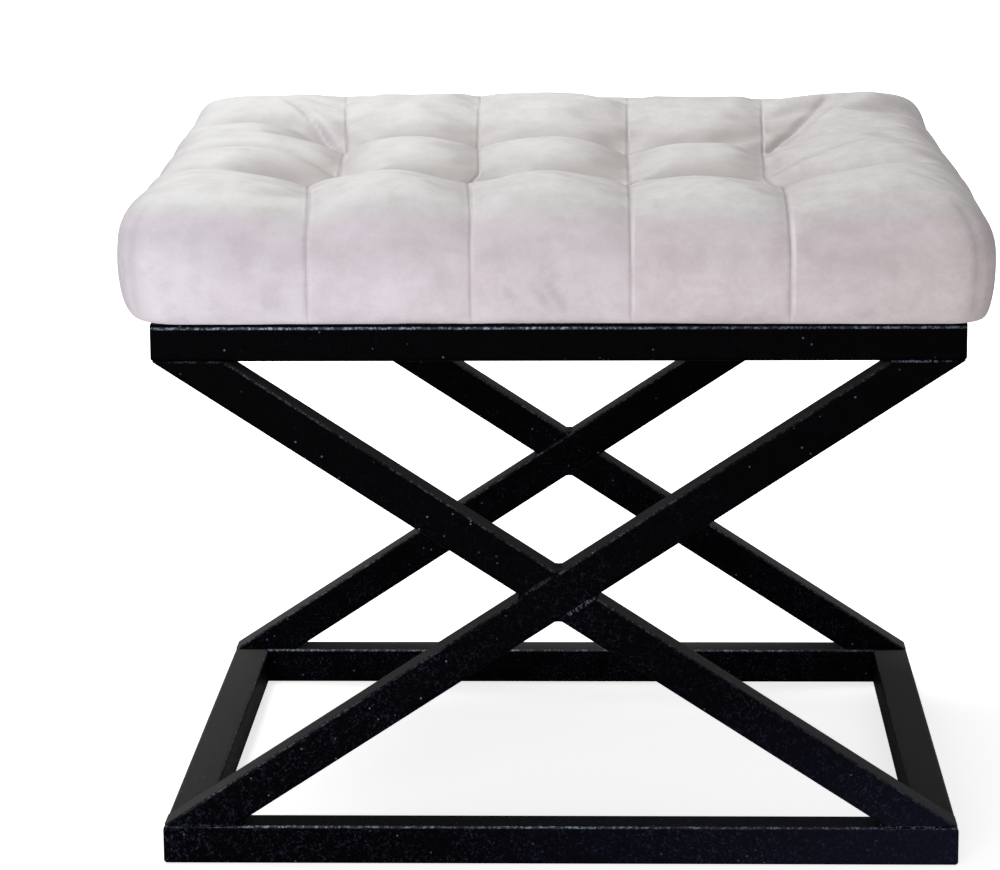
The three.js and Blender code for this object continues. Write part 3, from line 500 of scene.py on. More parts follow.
shape = bmesh.new()
seats = []
for side in (-1, 1):
    seats += [(side * (CLOTH_HALF_X - STAPLE_INSET), y, 90) for y in staple_row(CLOTH_HALF_Y)]
    seats += [(x, side * (CLOTH_HALF_Y - STAPLE_INSET), 0) for x in staple_row(CLOTH_HALF_X)]
for k, (x, y, turn) in enumerate(seats):
    made = bmesh.ops.create_cube(shape, size=1.0)["verts"]
    lean = Euler((0, 0, math.radians(turn + 7 * noise.noise(Vector((k * 3.7, 1.0, 0.0)))))).to_matrix()
    for vert in made:
        vert.co = Vector((vert.co.x * STAPLE_CROWN, vert.co.y * STAPLE_WIDTH, vert.co.z * STAPLE_RISE))
        vert.co = (lean @ vert.co + Vector((x, y, CLOTH_LOW - STAPLE_DROP))) * MM
bmesh.ops.bevel(shape, geom=shape.edges[:], offset=STAPLE_ROUND * MM, segments=2, affect="EDGES", profile=0.5,
                material=-1)
smooth_piece("dust_cover_staples", shape, bare_wire)

# Tuft ties
# Eight lengths of waxed nylon twine that pull the tufts down through the foam,
# each knotted round a nylon disc under the board.
TWINE_SHADE, TWINE_PALE = (0.50, 0.47, 0.42, 1), (0.78, 0.75, 0.69, 1)

twine, tree, shader = start_material("waxed_nylon_twine")
leaning = mapped(tree, add_node(tree, "TexCoord").outputs["Object"], Rotation=(0.0, 0.6, 0.0))
strand = add_node(tree, "TexWave", {"Vector": leaning, "Scale": 260.0, "Distortion": 1.5, "Detail": 1.0},
                  wave_type="BANDS", bands_direction="Z").outputs["Fac"]
fill_inputs(tree, shader, {
    "Base Color": blend_colours(tree, strand, TWINE_SHADE, TWINE_PALE),
    "Roughness": scaled(tree, strand, 0.2, 0.35),
    "Normal": bumped(tree, strand, 0.5, 0.0004)})
for name in nodes:
    if name.startswith("tuft_tie"):
        give_finish(name, twine)

# Velvet cover
# One skin of pale velvet over the foam: four seams run from front to rear, and
# eight blind tufts pull it down. It is shaped as a cloth under pressure, then
# its seams are drawn in, and it is turned under the board all round.
COLUMNS = (-158.5, -59.5, 39.5, 138.5)
ROWS = (-75.0, 75.0)
FLAT_X, FLAT_Y = (-235.0, 228.0), (-195.0, 206.0)
SHOULDER = {"left": 36.0, "right": 38.0, "front": 53.0, "rear": 40.0}
TUCK = {"left": 22.5, "right": 30.0, "front": 43.0, "rear": 31.0}
BELLY_LEVEL, FOOT_LEVEL, HEM_LEVEL = 387.0, 346.9, 348.4
TUFT_LEVEL = 409.0
CROWN_LEVEL, CROWN_SLOPE, VALLEY_LEVEL = 431.5, 0.022, 433.0
RIM_DROP, END_DRAW = 2.5, 2.5
TUFTS = (((-164, -77), (-61, -67), (44, -69), (142, -85)), ((-151, 82), (-61, 92), (43, 78), (136, 71)))
SEAM_FRONT, SEAM_REAR = (-151.5, -52.5, 45, 141), (-160, -63.5, 43.5, 139)
MID_SEAM_DEPTH, FRONT_SEAM_DEPTH = (15.0, 7.5, 12.5, 10.7), (12.0, 12.0, 9.0, 9.0)
REAR_SEAM_DEPTH, ROW_DEPTH = -0.8, 20.0
SEAM_BOW = (18.5, 8.0, 0.0, -10.0)
LEFT_SWELL = ((-240, -190, -120, 50, 130, 190, 240), (-0.5, 0.8, 1.2, 9.0, 6.5, -0.5, -1.0))
RIGHT_SWELL = ((-240, -120, 0, 110, 190, 240), (0, 1.0, 4.0, -1.0, -10.5, -8.0))
PANEL_X = (-210, -110, -8, 92, 205)
PANEL_LIFT = (  # y, then the lift of each panel there
    (-150, (1.0, 2.2, 0.8, -4.0, 0.5)), (0, (0.5, -4.0, -3.0, -7.5, 0.0)), (170, (1.6, 1.0, 1.8, -2.4, 0.5)),
)
CORNER_RADIUS = 13.0
GRID_X, GRID_Y = 94, 84
SIDE_PATTERN = 100
OUTER_SEAM_HOLD, MIDDLE_SEAM_HOLD, ROW_HOLD = 0.30, 0.10, 0.12
FOLD_HOLD, FOLD_HOLD_WIDTH = 0.14, 6
SIDE_TAUTNESS = 0.4
PULL_FRAME, LAST_FRAME = 12, 30
COVER_THICKNESS = 1.2
HEM_TURN, HEM_EDGE_X, HEM_EDGE_Y = 42.0, 258, 238
HEM_WELD = 2e-5
FOLDS = (  # soft valleys at the ends, which fan out from the outer tufts: points, depth at each end, width
    (((-164, -76), (-190, -95), (-225, -100), (-255, -95)), 8.0, 3.5, 10.0),
    (((-146, -48), (-158, -27), (-181, -7), (-205, -4), (-230, -6), (-255, -12)), 6.0, 10.0, 10.0),
    (((-152, 84), (-165, 112), (-190, 138), (-222, 142), (-255, 134)), 11.0, 4.0, 11.0),
    (((136, 74), (152, 104), (171, 150), (187, 196)), 9.0, 1.0, 7.5),
    (((138, 20), (195, 6), (245, -6)), 1.5, 1.0, 14.0),
    (((141, -80), (185, -92), (250, -90)), 2.0, 1.0, 14.0),
)


def between(value, low, high):
    t = min(1.0, max(0.0, (value - low) / (high - low)))
    return t * t * (3 - 2 * t)


def spread(px, py, offsets):
    x = float(np.interp(px, [FLAT_X[0], COLUMNS[0], COLUMNS[-1], FLAT_X[1]],
                        [FLAT_X[0] - offsets["left"], COLUMNS[0], COLUMNS[-1], FLAT_X[1] + offsets["right"]]))
    y = float(np.interp(py, [FLAT_Y[0], ROWS[0], ROWS[-1], FLAT_Y[1]],
                        [FLAT_Y[0] - offsets["front"], ROWS[0], ROWS[-1], FLAT_Y[1] + offsets["rear"]]))
    radius = CORNER_RADIUS + 0.45 * offsets["left"]
    x_low, x_high = FLAT_X[0] - offsets["left"], FLAT_X[1] + offsets["right"]
    y_low, y_high = FLAT_Y[0] - offsets["front"], FLAT_Y[1] + offsets["rear"]
    ax = max(0.0, (x_low + radius - x) / radius, (x - x_high + radius) / radius)
    ay = max(0.0, (y_low + radius - y) / radius, (y - y_high + radius) / radius)
    if ax and ay:
        x += math.copysign(radius * ax * (1 - math.sqrt(1 - ay * ay / 2)), -x)
        y += math.copysign(radius * ay * (1 - math.sqrt(1 - ax * ax / 2)), -y)
    return x, y


def sewn_place(x, y):
    row = min(1.0, max(0.0, (y - ROWS[0]) / (ROWS[1] - ROWS[0])))
    bow = (1 - row) * min(1.0, row / 0.14)
    seams = [(1 - row) * TUFTS[0][k][0] + row * TUFTS[1][k][0] + bow * SEAM_BOW[k] for k in range(4)]
    if y < ROWS[0]:
        past = min(1.0, (ROWS[0] - y) / 150)
        seams = [seam * (1 - past) + end * past for seam, end in zip(seams, SEAM_FRONT)]
    elif y > ROWS[1]:
        past = min(1.0, (y - ROWS[1]) / 130)
        seams = [seam * (1 - past) + end * past for seam, end in zip(seams, SEAM_REAR)]
    new_x = float(np.interp(x, [-300, *COLUMNS, 300], [-300, *seams, 300]))
    front = float(np.interp(x, COLUMNS, [t[1] for t in TUFTS[0]]))
    rear = float(np.interp(x, COLUMNS, [t[1] for t in TUFTS[1]]))
    new_y = float(np.interp(y, [-300, *ROWS, 300], [-300, front, rear, 300]))
    if new_x > 138:
        new_x += float(np.interp(new_y, *RIGHT_SWELL)) * between(new_x, 150, 250)
    elif new_x < -165:
        new_x -= float(np.interp(new_y, *LEFT_SWELL)) * between(-new_x, 165, 250)
    return new_x, new_y


def share(value, lines, low, high):
    if value <= lines[0]:
        return min(1.0, (lines[0] - value) / (lines[0] - low + 15))
    if value >= lines[-1]:
        return min(1.0, (value - lines[-1]) / (high - lines[-1] + 15))
    return min(1.0, min(abs(value - line) for line in lines) / ((lines[1] - lines[0]) / 2))


def near_line(x, y, points):
    best, place, run = 1e9, 0.0, 0.0
    total = sum(math.dist(a, b) for a, b in zip(points, points[1:]))
    for a, b in zip(points, points[1:]):
        dx, dy = b[0] - a[0], b[1] - a[1]
        size = math.hypot(dx, dy)
        t = min(1.0, max(0.0, ((x - a[0]) * dx + (y - a[1]) * dy) / size ** 2))
        away = math.hypot(x - a[0] - t * dx, y - a[1] - t * dy)
        if away < best:
            best, place = away, (run + t * size) / total
        run += size
    return best, place


def nearest_column(px):
    return min(range(4), key=lambda k: abs(px - COLUMNS[k]))


def crown_level(x, y):
    lift = [float(np.interp(x, PANEL_X, values)) for _, values in PANEL_LIFT]
    crown = CROWN_LEVEL + CROWN_SLOPE * y + float(np.interp(y, [place for place, _ in PANEL_LIFT], lift))
    corners = 3.6 * between(x, 185, 225) + 1.8 * between(-x, 205, 235)
    return crown - 1.0 * between(-x, 170, 260) + corners * between(y, 150, 205)


def row_depth(px):
    if COLUMNS[0] <= px <= COLUMNS[-1]:
        return ROW_DEPTH
    if px < 0:
        return ROW_DEPTH * (1 - 0.75 * between(-px, -COLUMNS[0], -FLAT_X[0] - 10))
    return ROW_DEPTH * (1 - 0.92 * between(px, COLUMNS[-1], FLAT_X[1] - 42))


def top_level(px, py, x, y):
    near_column = (1 - share(px, COLUMNS, *FLAT_X)) ** 2
    near_row = (1 - share(py, ROWS, *FLAT_Y)) ** 2
    crown = crown_level(x, y)
    column = nearest_column(px)
    middle = MID_SEAM_DEPTH[column]
    seam = middle + (FRONT_SEAM_DEPTH[column] - middle) * between(-y, 70, 130)
    seam += (REAR_SEAM_DEPTH - middle) * between(y, 80, 170)
    tufts = (crown - TUFT_LEVEL - 2) * near_column * near_row
    seams = seam * near_column * (1 - near_row)
    rows = row_depth(px) * near_row * (1 - near_column)
    level = crown - (tufts + seams + rows)
    for points, start, end, width in FOLDS:
        away, along = near_line(x, y, points)
        sink = (start + (end - start) * along) * math.exp(-(away / width) ** 2)
        level -= sink * (1 - near_column * 0.7) * between(266 - abs(x), 8, 40)
    rim_x = abs((px - sum(FLAT_X) / 2) / ((FLAT_X[1] - FLAT_X[0]) / 2))
    rim_y = abs((py - sum(FLAT_Y) / 2) / ((FLAT_Y[1] - FLAT_Y[0]) / 2))
    return level - RIM_DROP * (1 - (1 - rim_x ** 8) * (1 - rim_y ** 8)) * (1 - 0.5 * near_column)


def snapped(count, low, high, lines):
    even = np.linspace(low, high, count + 1)
    stops = [0] + [int(np.argmin(abs(even - line))) for line in lines] + [count]
    return np.interp(np.arange(count + 1), stops, [low, *lines, high])


shape = bmesh.new()
bmesh.ops.create_grid(shape, x_segments=GRID_X, y_segments=GRID_Y, size=1.0)
flat_x = snapped(GRID_X, *FLAT_X, COLUMNS)
flat_y = snapped(GRID_Y, *FLAT_Y, ROWS)
flat = shape.verts.layers.float_vector.new("flat")
ring_of = shape.verts.layers.int.new("ring")
none_out = dict.fromkeys(SHOULDER, 0.0)
for vert in shape.verts:
    px = float(flat_x[round((vert.co.x + 1) / 2 * GRID_X)])
    py = float(flat_y[round((vert.co.y + 1) / 2 * GRID_Y)])
    vert[flat] = Vector((px, py, 0))
    x, y = sewn_place(*spread(px, py, none_out))
    vert.co = Vector((x, y, top_level(px, py, x, y)))
quarter = math.pi / 2
rings = [(math.cos(quarter * (1 - k / 7)), math.sin(quarter * (1 - k / 7)), None) for k in range(1, 8)]
rings += [(None, math.cos(quarter * k / 8), math.sin(quarter * k / 8)) for k in range(1, 9)]
edges = rim_of(shape)
for number, (out, rise, drop) in enumerate(rings, 1):
    grown, edges = grow_rim(shape, edges)
    for vert in grown:
        px, py = vert[flat].x, vert[flat].y
        near_column = (1 - share(px, COLUMNS, *FLAT_X)) ** 2
        if drop is None:
            square = 1 - 0.58 * between(py, 60, 200) - 0.3 * between(-py, 60, 180) * between(-px, 120, 220)
            offsets = {side: SHOULDER[side] * out ** square for side in SHOULDER}
            inner = sewn_place(*spread(px, py, none_out))
            z = BELLY_LEVEL + rise ** square * (top_level(px, py, *inner) - BELLY_LEVEL)
            slack = out
        else:
            offsets = {side: TUCK[side] + (SHOULDER[side] - TUCK[side]) * rise ** 0.8 for side in SHOULDER}
            z = BELLY_LEVEL - (BELLY_LEVEL - FOOT_LEVEL) * drop
            slack = rise
        x, y = sewn_place(*spread(px, py, offsets))
        if py in FLAT_Y:
            y -= math.copysign(END_DRAW * near_column * slack, py)
        vert.co = Vector((x, y, z))
        vert[ring_of] = number
bmesh.ops.recalc_face_normals(shape, faces=shape.faces)
hold = shape.verts.layers.deform.verify()
pattern = shape.loops.layers.uv.new("flat_pattern")
for vert in shape.verts:
    px, py = vert[flat].x, vert[flat].y
    on_column = any(abs(px - line) < 0.5 for line in COLUMNS)
    on_row = any(abs(py - line) < 0.5 for line in ROWS)
    number = vert[ring_of]
    tuft = on_column and on_row and number == 0
    if tuft or number == len(rings):
        vert[hold][0] = 1.0
    elif on_column:
        vert[hold][0] = OUTER_SEAM_HOLD if abs(py) > 90 or number else MIDDLE_SEAM_HOLD
    elif on_row and COLUMNS[0] < px < COLUMNS[-1]:
        vert[hold][0] = ROW_HOLD
    elif number < 6:
        nearest = min(near_line(vert.co.x, vert.co.y, fold[0])[0] for fold in FOLDS)
        vert[hold][0] = FOLD_HOLD * math.exp(-(nearest / FOLD_HOLD_WIDTH) ** 2)
    vert[hold][1] = 1.0 if on_column else (SIDE_TAUTNESS if number else 0.0)
    if tuft:
        vert[hold][2] = 1.0
for face in shape.faces:
    for loop in face.loops:
        out = loop.vert[ring_of] / (len(rings) + 1)
        px, py = loop.vert[flat].x, loop.vert[flat].y
        if py in FLAT_Y:
            py += math.copysign(SIDE_PATTERN * out, py)
        elif px in FLAT_X:
            px += math.copysign(SIDE_PATTERN * out, px)
        loop[pattern].uv = (px * MM, py * MM)
for vert in shape.verts:
    vert.co *= MM
# The order of edges and faces is fixed, so that the pressure gives the same folds
# each run.
shape.verts.index_update()
count = len(shape.verts)


def place_in_order(piece):
    low = sorted(vert.index for vert in piece.verts)[:3]
    return sum(index * count ** (2 - k) for k, index in enumerate(low))


shape.edges.sort(key=place_in_order)
shape.faces.sort(key=place_in_order)
mesh = bpy.data.meshes.new("cover_before_pressure")
shape.to_mesh(mesh)
ends = np.empty(2 * len(mesh.edges), dtype=np.int32)
mesh.edges.foreach_get("vertices", ends)
mesh.edges.foreach_set("vertices", np.sort(ends.reshape(-1, 2), axis=1).ravel())
shape.free()
loose_cover = add_object("cover_before_pressure", mesh)
for name in ("held", "taut", "tuft"):
    loose_cover.vertex_groups.new(name=name)
loose_cover.shape_key_add(name="sewn flat")
pulled = loose_cover.shape_key_add(name="tufts pulled")
for vert in mesh.vertices:
    if any(g.group == 2 for g in vert.groups):
        pulled.data[vert.index].co = Vector((vert.co.x, vert.co.y, TUFT_LEVEL * MM))
pulled.value = 0
pulled.keyframe_insert("value", frame=1)
pulled.value = 1
pulled.keyframe_insert("value", frame=PULL_FRAME)
cloth_run = loose_cover.modifiers.new("pressure", "CLOTH")
rules = cloth_run.settings
rules.quality = 6
rules.mass = 0.2
rules.tension_stiffness = 12
rules.compression_stiffness = 6
rules.shear_stiffness = 3
rules.bending_stiffness = 2.0
rules.tension_damping = rules.compression_damping = rules.shear_damping = 5
rules.bending_damping = 0.5
rules.use_pressure = True
rules.uniform_pressure_force = 1.1
rules.vertex_group_mass = "held"
rules.pin_stiffness = 1
rules.vertex_group_shrink = "taut"
rules.shrink_min, rules.shrink_max = -0.018, 0.006
rules.effector_weights.gravity = 0
cloth_run.collision_settings.use_collision = False
for number in range(1, LAST_FRAME + 1):
    bpy.context.scene.frame_set(number)
finer = loose_cover.modifiers.new("finer", "SUBSURF")
finer.levels = finer.render_levels = 1
finer.uv_smooth = "NONE"
settled = loose_cover.evaluated_get(bpy.context.evaluated_depsgraph_get())
mesh = bpy.data.meshes.new_from_object(settled)
bpy.context.scene.frame_set(1)
bpy.data.objects.remove(loose_cover)

SEAM_WIDTH, SEAM_DRAW = 0.6, 1.2
# Painted highlight beside each seam on the front, one strength per seam.
PINCH_HIGHLIGHT = (0.14, 0.20, 0.42, 0.62)
CREASES = (  # crisp creases at the tufts: points, depth, width
    (((143, 89), (152, 108), (168, 146), (188, 198)), 3.9, 3.0),
    (((143, 76), (158, 104), (177, 146), (193, 188)), -2.2, 3.0),
    (((150, 84), (167, 108), (186, 146), (202, 186)), 1.8, 2.4),
    (((-151, 84), (-159, 101), (-173, 129), (-189, 162), (-206, 194)), 3.4, 2.6),
    (((-157, 84), (-167, 102), (-182, 130), (-198, 160)), -1.4, 2.8),
    (((-152, 82), (-170, 92), (-196, 112)), 1.4, 2.4),
    (((-165, -77), (-182, -96), (-214, -104)), 2.4, 2.8),
    (((-146, -50), (-160, -30), (-184, -12), (-228, -10)), 2.2, 2.6),
    (((-152, 82), (-176, 108), (-220, 138)), 2.0, 3.0),
    (((141, -85), (165, -90), (215, -94)), 1.8, 2.8),
    (((139, -60), (160, -46), (205, -20)), 1.0, 2.6),
    (((136, 70), (140, 20), (142, -60)), 0.8, 2.4),
)
FRONT_CREASES = (  # small wrinkles low on the front, in x and z
    (((-18, 376), (-9, 366), (-3, 354)), 1.2, 2.4),
    (((-10, 378), (0, 366), (8, 352)), 1.0, 2.4),
    (((-34, 372), (-27, 364), (-20, 360)), 0.7, 2.4),
)
FAINT_MARKS = (  # a faint mark low on the front: x and z, radius, strength
    ((-172, 361), 7.5, 0.30),
    ((-175, 371), 6.5, 0.22),
)
CORNER_SEAMS = (  # soft upright gusset seams: centre of the corner, sweep in degrees, depth, mark
    (-243, -219, 54, 0.6, 0.25),
    (239, -219, 60, 1.0, 0.42),
    (-240, 212, 48, 0.8, 0.35),
    (230, 212, 48, 0.8, 0.35),
)
CREASE_FLOOR, CREASE_FADE, CREASE_MARK, FRONT_MARK = 400, 0.45, 0.5, 0.45
SEAM_TOP, CORNER_SEAM_WIDTH, LOW_FADE = 428, 2.6, (348, 358)
TUFT_DIMPLE, DIMPLE_WIDTH = 1.6, 4.0
LUMP_HEIGHT, LUMP_SCALE = 0.5, 0.03
shape = bmesh.new()
shape.from_mesh(mesh)
shape.verts.layers.deform.remove(shape.verts.layers.deform.active)
pattern = shape.loops.layers.uv.active
seam_edges = []
for edge in shape.edges:
    ends = [vert.link_loops[0][pattern].uv.x / MM for vert in edge.verts]
    if any(max(abs(end - line) for end in ends) < 0.4 for line in COLUMNS):
        seam_edges.append(edge)
# The fold attribute holds painted shade in the seams, creases, corner seams and round the tufts, painted
# highlight as negative values on ridges and beside seams, and the faint marks.
fold = shape.verts.layers.float.new("fold")
valley = shape.verts.layers.float.new("valley")
beside = shape.verts.layers.float.new("beside")
bmesh.ops.bevel(shape, geom=seam_edges, offset=SEAM_WIDTH * MM, segments=2, affect="EDGES", profile=0.5,
                material=-1)
shape.normal_update()
moves = []
for vert in shape.verts:
    px, py = vert.link_loops[0][pattern].uv / MM
    x, y = vert.co.x / MM, vert.co.y / MM
    z = vert.co.z / MM
    column = nearest_column(px)
    away = px - COLUMNS[column]
    vert[beside] = away
    low_fade = between(z, *LOW_FADE)
    depth, mark = 0.0, 0.0
    # Painted shade along the seam groove, and painted highlight on the pinch beside it.
    if abs(away) < 0.3:
        depth += SEAM_DRAW * low_fade * (1 - 0.75 * between(y, 120, 190))
        mark = 0.55 + 0.25 * noise.noise(Vector((0, y * 0.03, z * 0.05 + column * 9)))
    elif 0 < away < 4 and y < -150 and z < 420:
        uneven = 0.7 + 0.6 * noise.noise(Vector((column * 5, 0, z * 0.06)))
        mark = -PINCH_HIGHLIGHT[column] * between(z, 348, 362) * between(420 - z, 0, 16) * uneven
    if z > CREASE_FLOOR and abs(y) < 215:
        for points, draw, width in CREASES:
            gap, along = near_line(x, y, points)
            if gap < width * 3:
                line = math.exp(-(gap / width) ** 2) * (1 - along) ** CREASE_FADE
                depth += draw * line
                mark = max(mark, CREASE_MARK * line) if draw > 0 else min(mark, -CREASE_MARK * line)
    elif y < -225 and z < 385:
        for points, draw, width in FRONT_CREASES:
            gap, along = near_line(x, z, points)
            if gap < width * 3:
                line = math.exp(-(gap / width) ** 2) * math.sin(math.pi * min(0.97, max(0.03, along)))
                depth += draw * line
                mark = max(mark, FRONT_MARK * line)
        faint_mark = max(dark * math.exp(-(math.dist((x, z), at) / radius) ** 4) for at, radius, dark in FAINT_MARKS)
        if faint_mark > 0.02:
            mark = max(mark, faint_mark)
    for cx, cy, sweep, draw, tint in CORNER_SEAMS:
        over_x, over_y = (x - cx) * math.copysign(1, cx), (y - cy) * math.copysign(1, cy)
        if over_x > 0 and over_y > 0 and z < SEAM_TOP:
            gap = (math.atan2(over_y, over_x) - math.radians(sweep)) * math.hypot(over_x, over_y)
            line = math.exp(-(gap / CORNER_SEAM_WIDTH) ** 2) * low_fade * between(SEAM_TOP - z, 0, 16)
            depth += draw * line
            mark = max(mark, tint * line)
    # Painted shade round the tufts.
    near_tuft = min(math.dist((x, y), t) for row in TUFTS for t in row)
    depth += TUFT_DIMPLE * math.exp(-(near_tuft / DIMPLE_WIDTH) ** 2) if z > 395 else 0.0
    vert[fold] = max(mark, math.exp(-(near_tuft / 5.0) ** 2)) if near_tuft < 12 else mark
    # Painted shade in the valleys: how far a point lies below the crown, away from the ends.
    inside = between(205 - abs(y + 8), 0, 35) * between(262 - abs(x), 0, 30)
    vert[valley] = between(VALLEY_LEVEL + CROWN_SLOPE * y - z, 4.0, 17.0) * inside
    lump = LUMP_HEIGHT * noise.noise(Vector((x, y, z)) * LUMP_SCALE)
    moves.append((vert, vert.normal * (lump - depth) * MM))
for vert, move in moves:
    vert.co += move
    vert.co.z = max(vert.co.z, FOOT_LEVEL * MM)
edges = rim_of(shape)
for inwards in (HEM_TURN * 0.2, HEM_TURN * 0.6, HEM_TURN):
    grown, edges = grow_rim(shape, edges)
    for vert in grown:
        x, y = vert.co.x / MM, vert.co.y / MM
        x = math.copysign(min(abs(x), HEM_EDGE_X - inwards), x)
        y = math.copysign(min(abs(y), HEM_EDGE_Y - inwards), y)
        vert.co = Vector((x, y, HEM_LEVEL)) * MM
hem = [vert for vert in shape.verts if abs(vert.co.z - HEM_LEVEL * MM) < 1e-6]
bmesh.ops.remove_doubles(shape, verts=hem, dist=HEM_WELD)
bmesh.ops.recalc_face_normals(shape, faces=shape.faces)

# Painted light: the front tones darken from left to right as painted shade, and the paler, greyer top tones
# are painted light from above and painted sheen.
FRONT_LEFT, FRONT_RIGHT = (0.820, 0.765, 0.835, 1), (0.625, 0.550, 0.558, 1)
TOP_PALE, TOP_GREY = (0.790, 0.795, 0.785, 1), (0.590, 0.575, 0.567, 1)
FOLD_SHADE, PINCH_HIGHLIGHT_TONE = (0.26, 0.235, 0.24, 1), (0.94, 0.92, 0.96, 1)
PINCH_DISTANCE = 1.9

velvet, tree, shader = start_material("pale_velvet")
coords = add_node(tree, "TexCoord")
where, facing = coords.outputs["Object"], parts(tree, coords.outputs["Normal"])
spot = parts(tree, where)
upward = ramp(tree, scaled(tree, ramp(tree, spot[2], 0.410, 0.426), 0.20, facing[2]), 0.62, 0.96)
brushed = noise_texture(tree, mapped(tree, where, Scale=(1.0, 1.0, 0.8)), 17.0, 3.0, 0.55, 0.6)
strokes = noise_texture(tree, mapped(tree, where, Scale=(0.8, 0.8, 1.25)), 190.0, 4.0, 0.65)
pressed = noise_texture(tree, mapped(tree, where, Location=(0.37, 0.11, 0.71)), 58.0, 5.0, 0.66, 0.15)
pile = place_group(tree, fibres, {"Scale": 520.0, "Stretch": 2.2})
unbrushed = minus(tree, 1.0, ramp(tree, brushed, 0.34, 0.66))
# Painted shade: on the rounded shoulders, just past the front crest, on slopes that face right, and on faces
# turned to the left.
shoulder = times(tree, times(tree, facing[2], minus(tree, 1.0, facing[2])), 4.0, clamp=True)
past_crest = times(tree, ramp(tree, facing[2], 0.50, 0.72), ramp(tree, facing[2], 0.985, 0.90))
front_lip = times(tree, ramp(tree, spot[1], -0.12, -0.18), past_crest)
slope = times(tree, ramp(tree, facing[0], 0.02, 0.36), ramp(tree, facing[2], 0.55, 0.80))
behind = scaled(tree, ramp(tree, spot[1], -0.16, -0.08), 0.36, 0.14)
valley_shade, shade_and_pinch_light, beside_seam = [
    add_node(tree, "Attribute", attribute_name=name).outputs["Fac"] for name in ("valley", "fold", "beside")]
lit_side = scaled(tree, ramp(tree, facing[0], -0.02, -0.22), -0.60, 1.0)
next_to_seam = maths(tree, "ABSOLUTE", minus(tree, beside_seam, PINCH_DISTANCE))
# Painted shade towards the right, and painted light where the surface faces up.
left_to_right = ramp(tree, spot[0], -0.27, 0.27)
front_tone = blend_colours(tree, left_to_right, FRONT_LEFT, FRONT_RIGHT)
top_tone = blend_colours(tree, left_to_right, TOP_PALE, TOP_GREY)
colour = blend_colours(tree, upward, front_tone, top_tone)
# The first five tones are random tones of the pile; the rest are painted shade.
for area, strength, tone, mode in (
        (unbrushed, 0.42, (0.78, 0.73, 0.74, 1), "MULTIPLY"),
        (ramp(tree, pressed, 0.50, 0.64), 0.11, (0.90, 0.885, 0.93, 1), "MIX"),
        (ramp(tree, pressed, 0.52, 0.36), 0.17, (0.66, 0.63, 0.63, 1), "MULTIPLY"),
        (ramp(tree, strokes, 0.46, 0.62), 0.08, (0.90, 0.88, 0.90, 1), "MIX"),
        (ramp(tree, pile.outputs["Shade"], 0.56, 0.44), 0.10, (0.70, 0.68, 0.69, 1), "MULTIPLY"),
        (shoulder, 0.25, (0.42, 0.38, 0.40, 1), "MIX"),
        (front_lip, 0.30, (0.66, 0.64, 0.66, 1), "MULTIPLY"),
        (slope, behind, (0.70, 0.67, 0.66, 1), "MULTIPLY"),
        (ramp(tree, facing[0], -0.30, -0.95), 0.55, (0.80, 0.81, 0.79, 1), "MULTIPLY"),
        (times(tree, valley_shade, 0.62), lit_side, (0.42, 0.385, 0.37, 1), "MIX")):
    colour = blend_colours(tree, times(tree, area, strength), colour, tone, mode)
# Painted shade where the fold attribute is positive, painted highlight where it is negative.
colour = blend_colours(tree, times(tree, shade_and_pinch_light, 0.55, clamp=True), colour, FOLD_SHADE)
pinch_highlight = times(tree, times(tree, shade_and_pinch_light, -0.7, clamp=True), ramp(tree, next_to_seam, 1.5, 0.5))
colour = blend_colours(tree, pinch_highlight, colour, PINCH_HIGHLIGHT_TONE)
height = maths(tree, "ADD", times(tree, pile.outputs["Height"], 0.5), strokes)
fill_inputs(tree, shader, {
    "Base Color": colour,
    "Roughness": 0.9,
    "Specular IOR Level": 0.15,
    "Sheen Weight": 0.12,
    "Sheen Roughness": 0.35,
    "Normal": bumped(tree, height, 0.35, 0.0005)})

foam_shape = shape.copy()
velvet_cover = smooth_piece("velvet_cover", shape, velvet)
wall = velvet_cover.modifiers.new("velvet thickness", "SOLIDIFY")
wall.thickness = COVER_THICKNESS * MM
wall.offset = -1
wall.use_even_offset = False
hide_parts("seat_cover")

# Foam pad
# A block of upholstery foam on the board. It follows the inside of the velvet
# all over, because the cover and the tufts press it into shape.
FOAM_SHADE, FOAM_PALE, FOAM_CELL = (0.76, 0.72, 0.56, 1), (0.82, 0.79, 0.68, 1), (0.45, 0.40, 0.28, 1)

foam, tree, shader = start_material("upholstery_foam")
where = add_node(tree, "TexCoord").outputs["Object"]
cells = add_node(tree, "TexVoronoi", {"Vector": where, "Scale": 900.0}).outputs["Distance"]
colour = blend_colours(tree, noise_texture(tree, where, 12.0, 3.0), FOAM_SHADE, FOAM_PALE)
fill_inputs(tree, shader, {
    "Base Color": blend_colours(tree, ramp(tree, cells, 0.25, 0.0), colour, FOAM_CELL),
    "Roughness": 0.95,
    "Normal": bumped(tree, cells, 0.5, 0.0006)})

FOAM_GAP = 0.5
foam_shape.normal_update()
sinks = [(vert, vert.normal * (COVER_THICKNESS + FOAM_GAP) * MM) for vert in foam_shape.verts]
for vert, sink in sinks:
    vert.co -= sink
board_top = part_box("seat_board")[1][2]
whole = foam_shape.verts[:] + foam_shape.edges[:] + foam_shape.faces[:]
bmesh.ops.bisect_plane(foam_shape, geom=whole, dist=1e-6, plane_co=(0, 0, board_top), plane_no=(0, 0, 1),
                       clear_inner=True)
bmesh.ops.holes_fill(foam_shape, edges=rim_of(foam_shape))
bmesh.ops.recalc_face_normals(foam_shape, faces=foam_shape.faces)
foam_core = smooth_piece("foam_core", foam_shape, foam)
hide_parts("foam_pad")

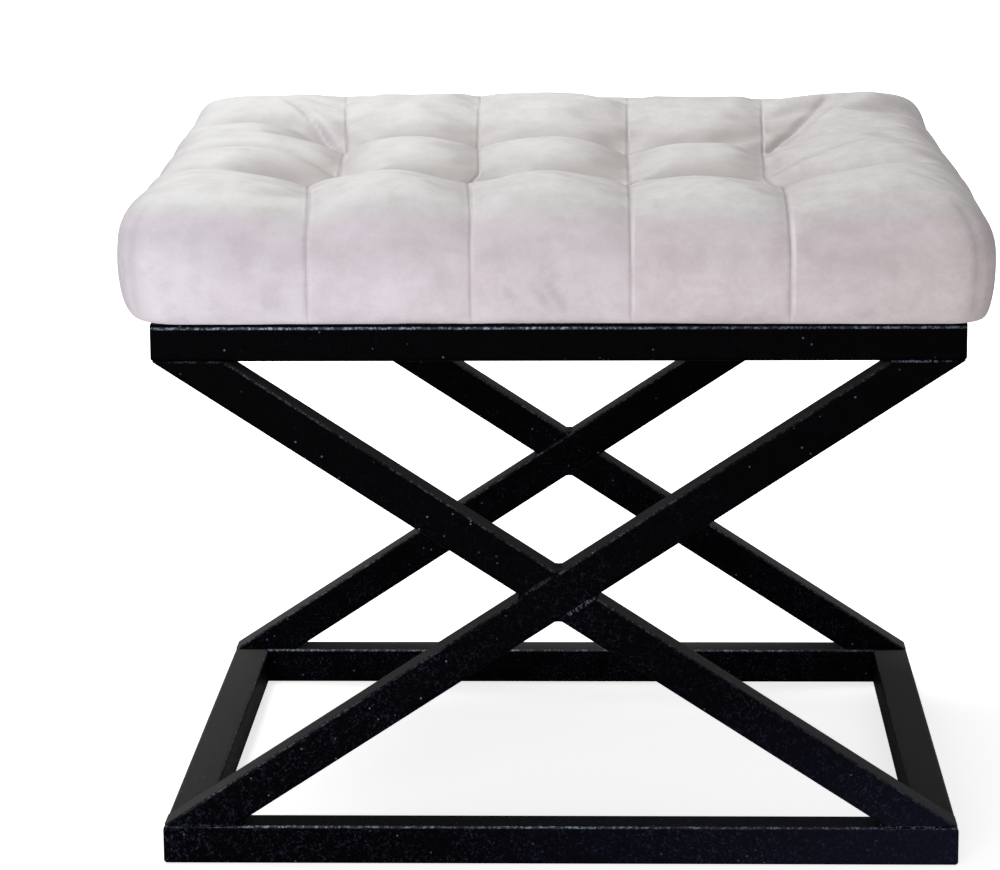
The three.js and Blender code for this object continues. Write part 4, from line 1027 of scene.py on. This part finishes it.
# Floor, light and camera
# A plain white studio: the stool stands on a pale floor under soft light from
# above and in front, and the camera looks down on it from a little above.
FLOOR_TONES = (0.86, 0.86, 0.86, 1), (0.88, 0.88, 0.88, 1)
FLOOR_HALF = 6.0
SKY_LEVEL = 0.30
LAMPS = (("key", (-0.6, 0.4, 2.6), 1.2, 44), ("front", (-0.6, -3.1, 0.55), 1.4, 47))
AIM = Vector((0, 0, 0.36))
LENS_LENGTH = 132.129
CAMERA_PLACE, CAMERA_TURN = (0.042911, -2.441974, 0.723804), (78.566414, 0.449929, 1.937222)

floor_paint, tree, shader = start_material("studio_floor")
where = add_node(tree, "TexCoord").outputs["Object"]
away = add_node(tree, "VectorMath", {0: where}, operation="LENGTH").outputs["Value"]
white = scaled(tree, ramp(tree, away, 0.40, 1.3), 0.6, 0.72)
fill_inputs(tree, shader, {
    "Base Color": blend_colours(tree, noise_texture(tree, where, 1.5), *FLOOR_TONES),
    "Roughness": 0.9,
    "Specular IOR Level": 0.1,
    "Emission Color": (1, 1, 1, 1),
    "Emission Strength": times(tree, add_node(tree, "LightPath").outputs["Is Camera Ray"], white)})
shape = bmesh.new()
bmesh.ops.create_grid(shape, x_segments=1, y_segments=1, size=FLOOR_HALF)
mesh = bpy.data.meshes.new("studio_floor")
shape.to_mesh(mesh)
shape.free()
floor = add_object("studio_floor", mesh)
mesh.materials.append(floor_paint)

world = bpy.data.worlds.new("studio")
bpy.context.scene.world = world
world.use_nodes = True
tree = world.node_tree
path = add_node(tree, "LightPath")
seen = maths(tree, "MAXIMUM", path.outputs["Is Camera Ray"], path.outputs["Is Transmission Ray"])
fill_inputs(tree, tree.nodes["Background"], {
    "Color": (1, 1, 1, 1),
    "Strength": scaled(tree, seen, 1 - SKY_LEVEL, SKY_LEVEL)})
for name, place, size, power in LAMPS:
    lamp = bpy.data.lights.new(name, "AREA")
    lamp.size, lamp.energy = size, power
    holder = add_object(name, lamp)
    holder.location = place
    holder.rotation_euler = (AIM - Vector(place)).to_track_quat("-Z", "Y").to_euler()

lens = bpy.data.cameras.new("camera")
lens.sensor_width = 36
lens.lens = LENS_LENGTH
camera = add_object("camera", lens)
camera.location = CAMERA_PLACE
camera.rotation_euler = [math.radians(turn) for turn in CAMERA_TURN]
bpy.context.scene.camera = camera
bpy.context.scene.view_settings.view_transform = "Standard"
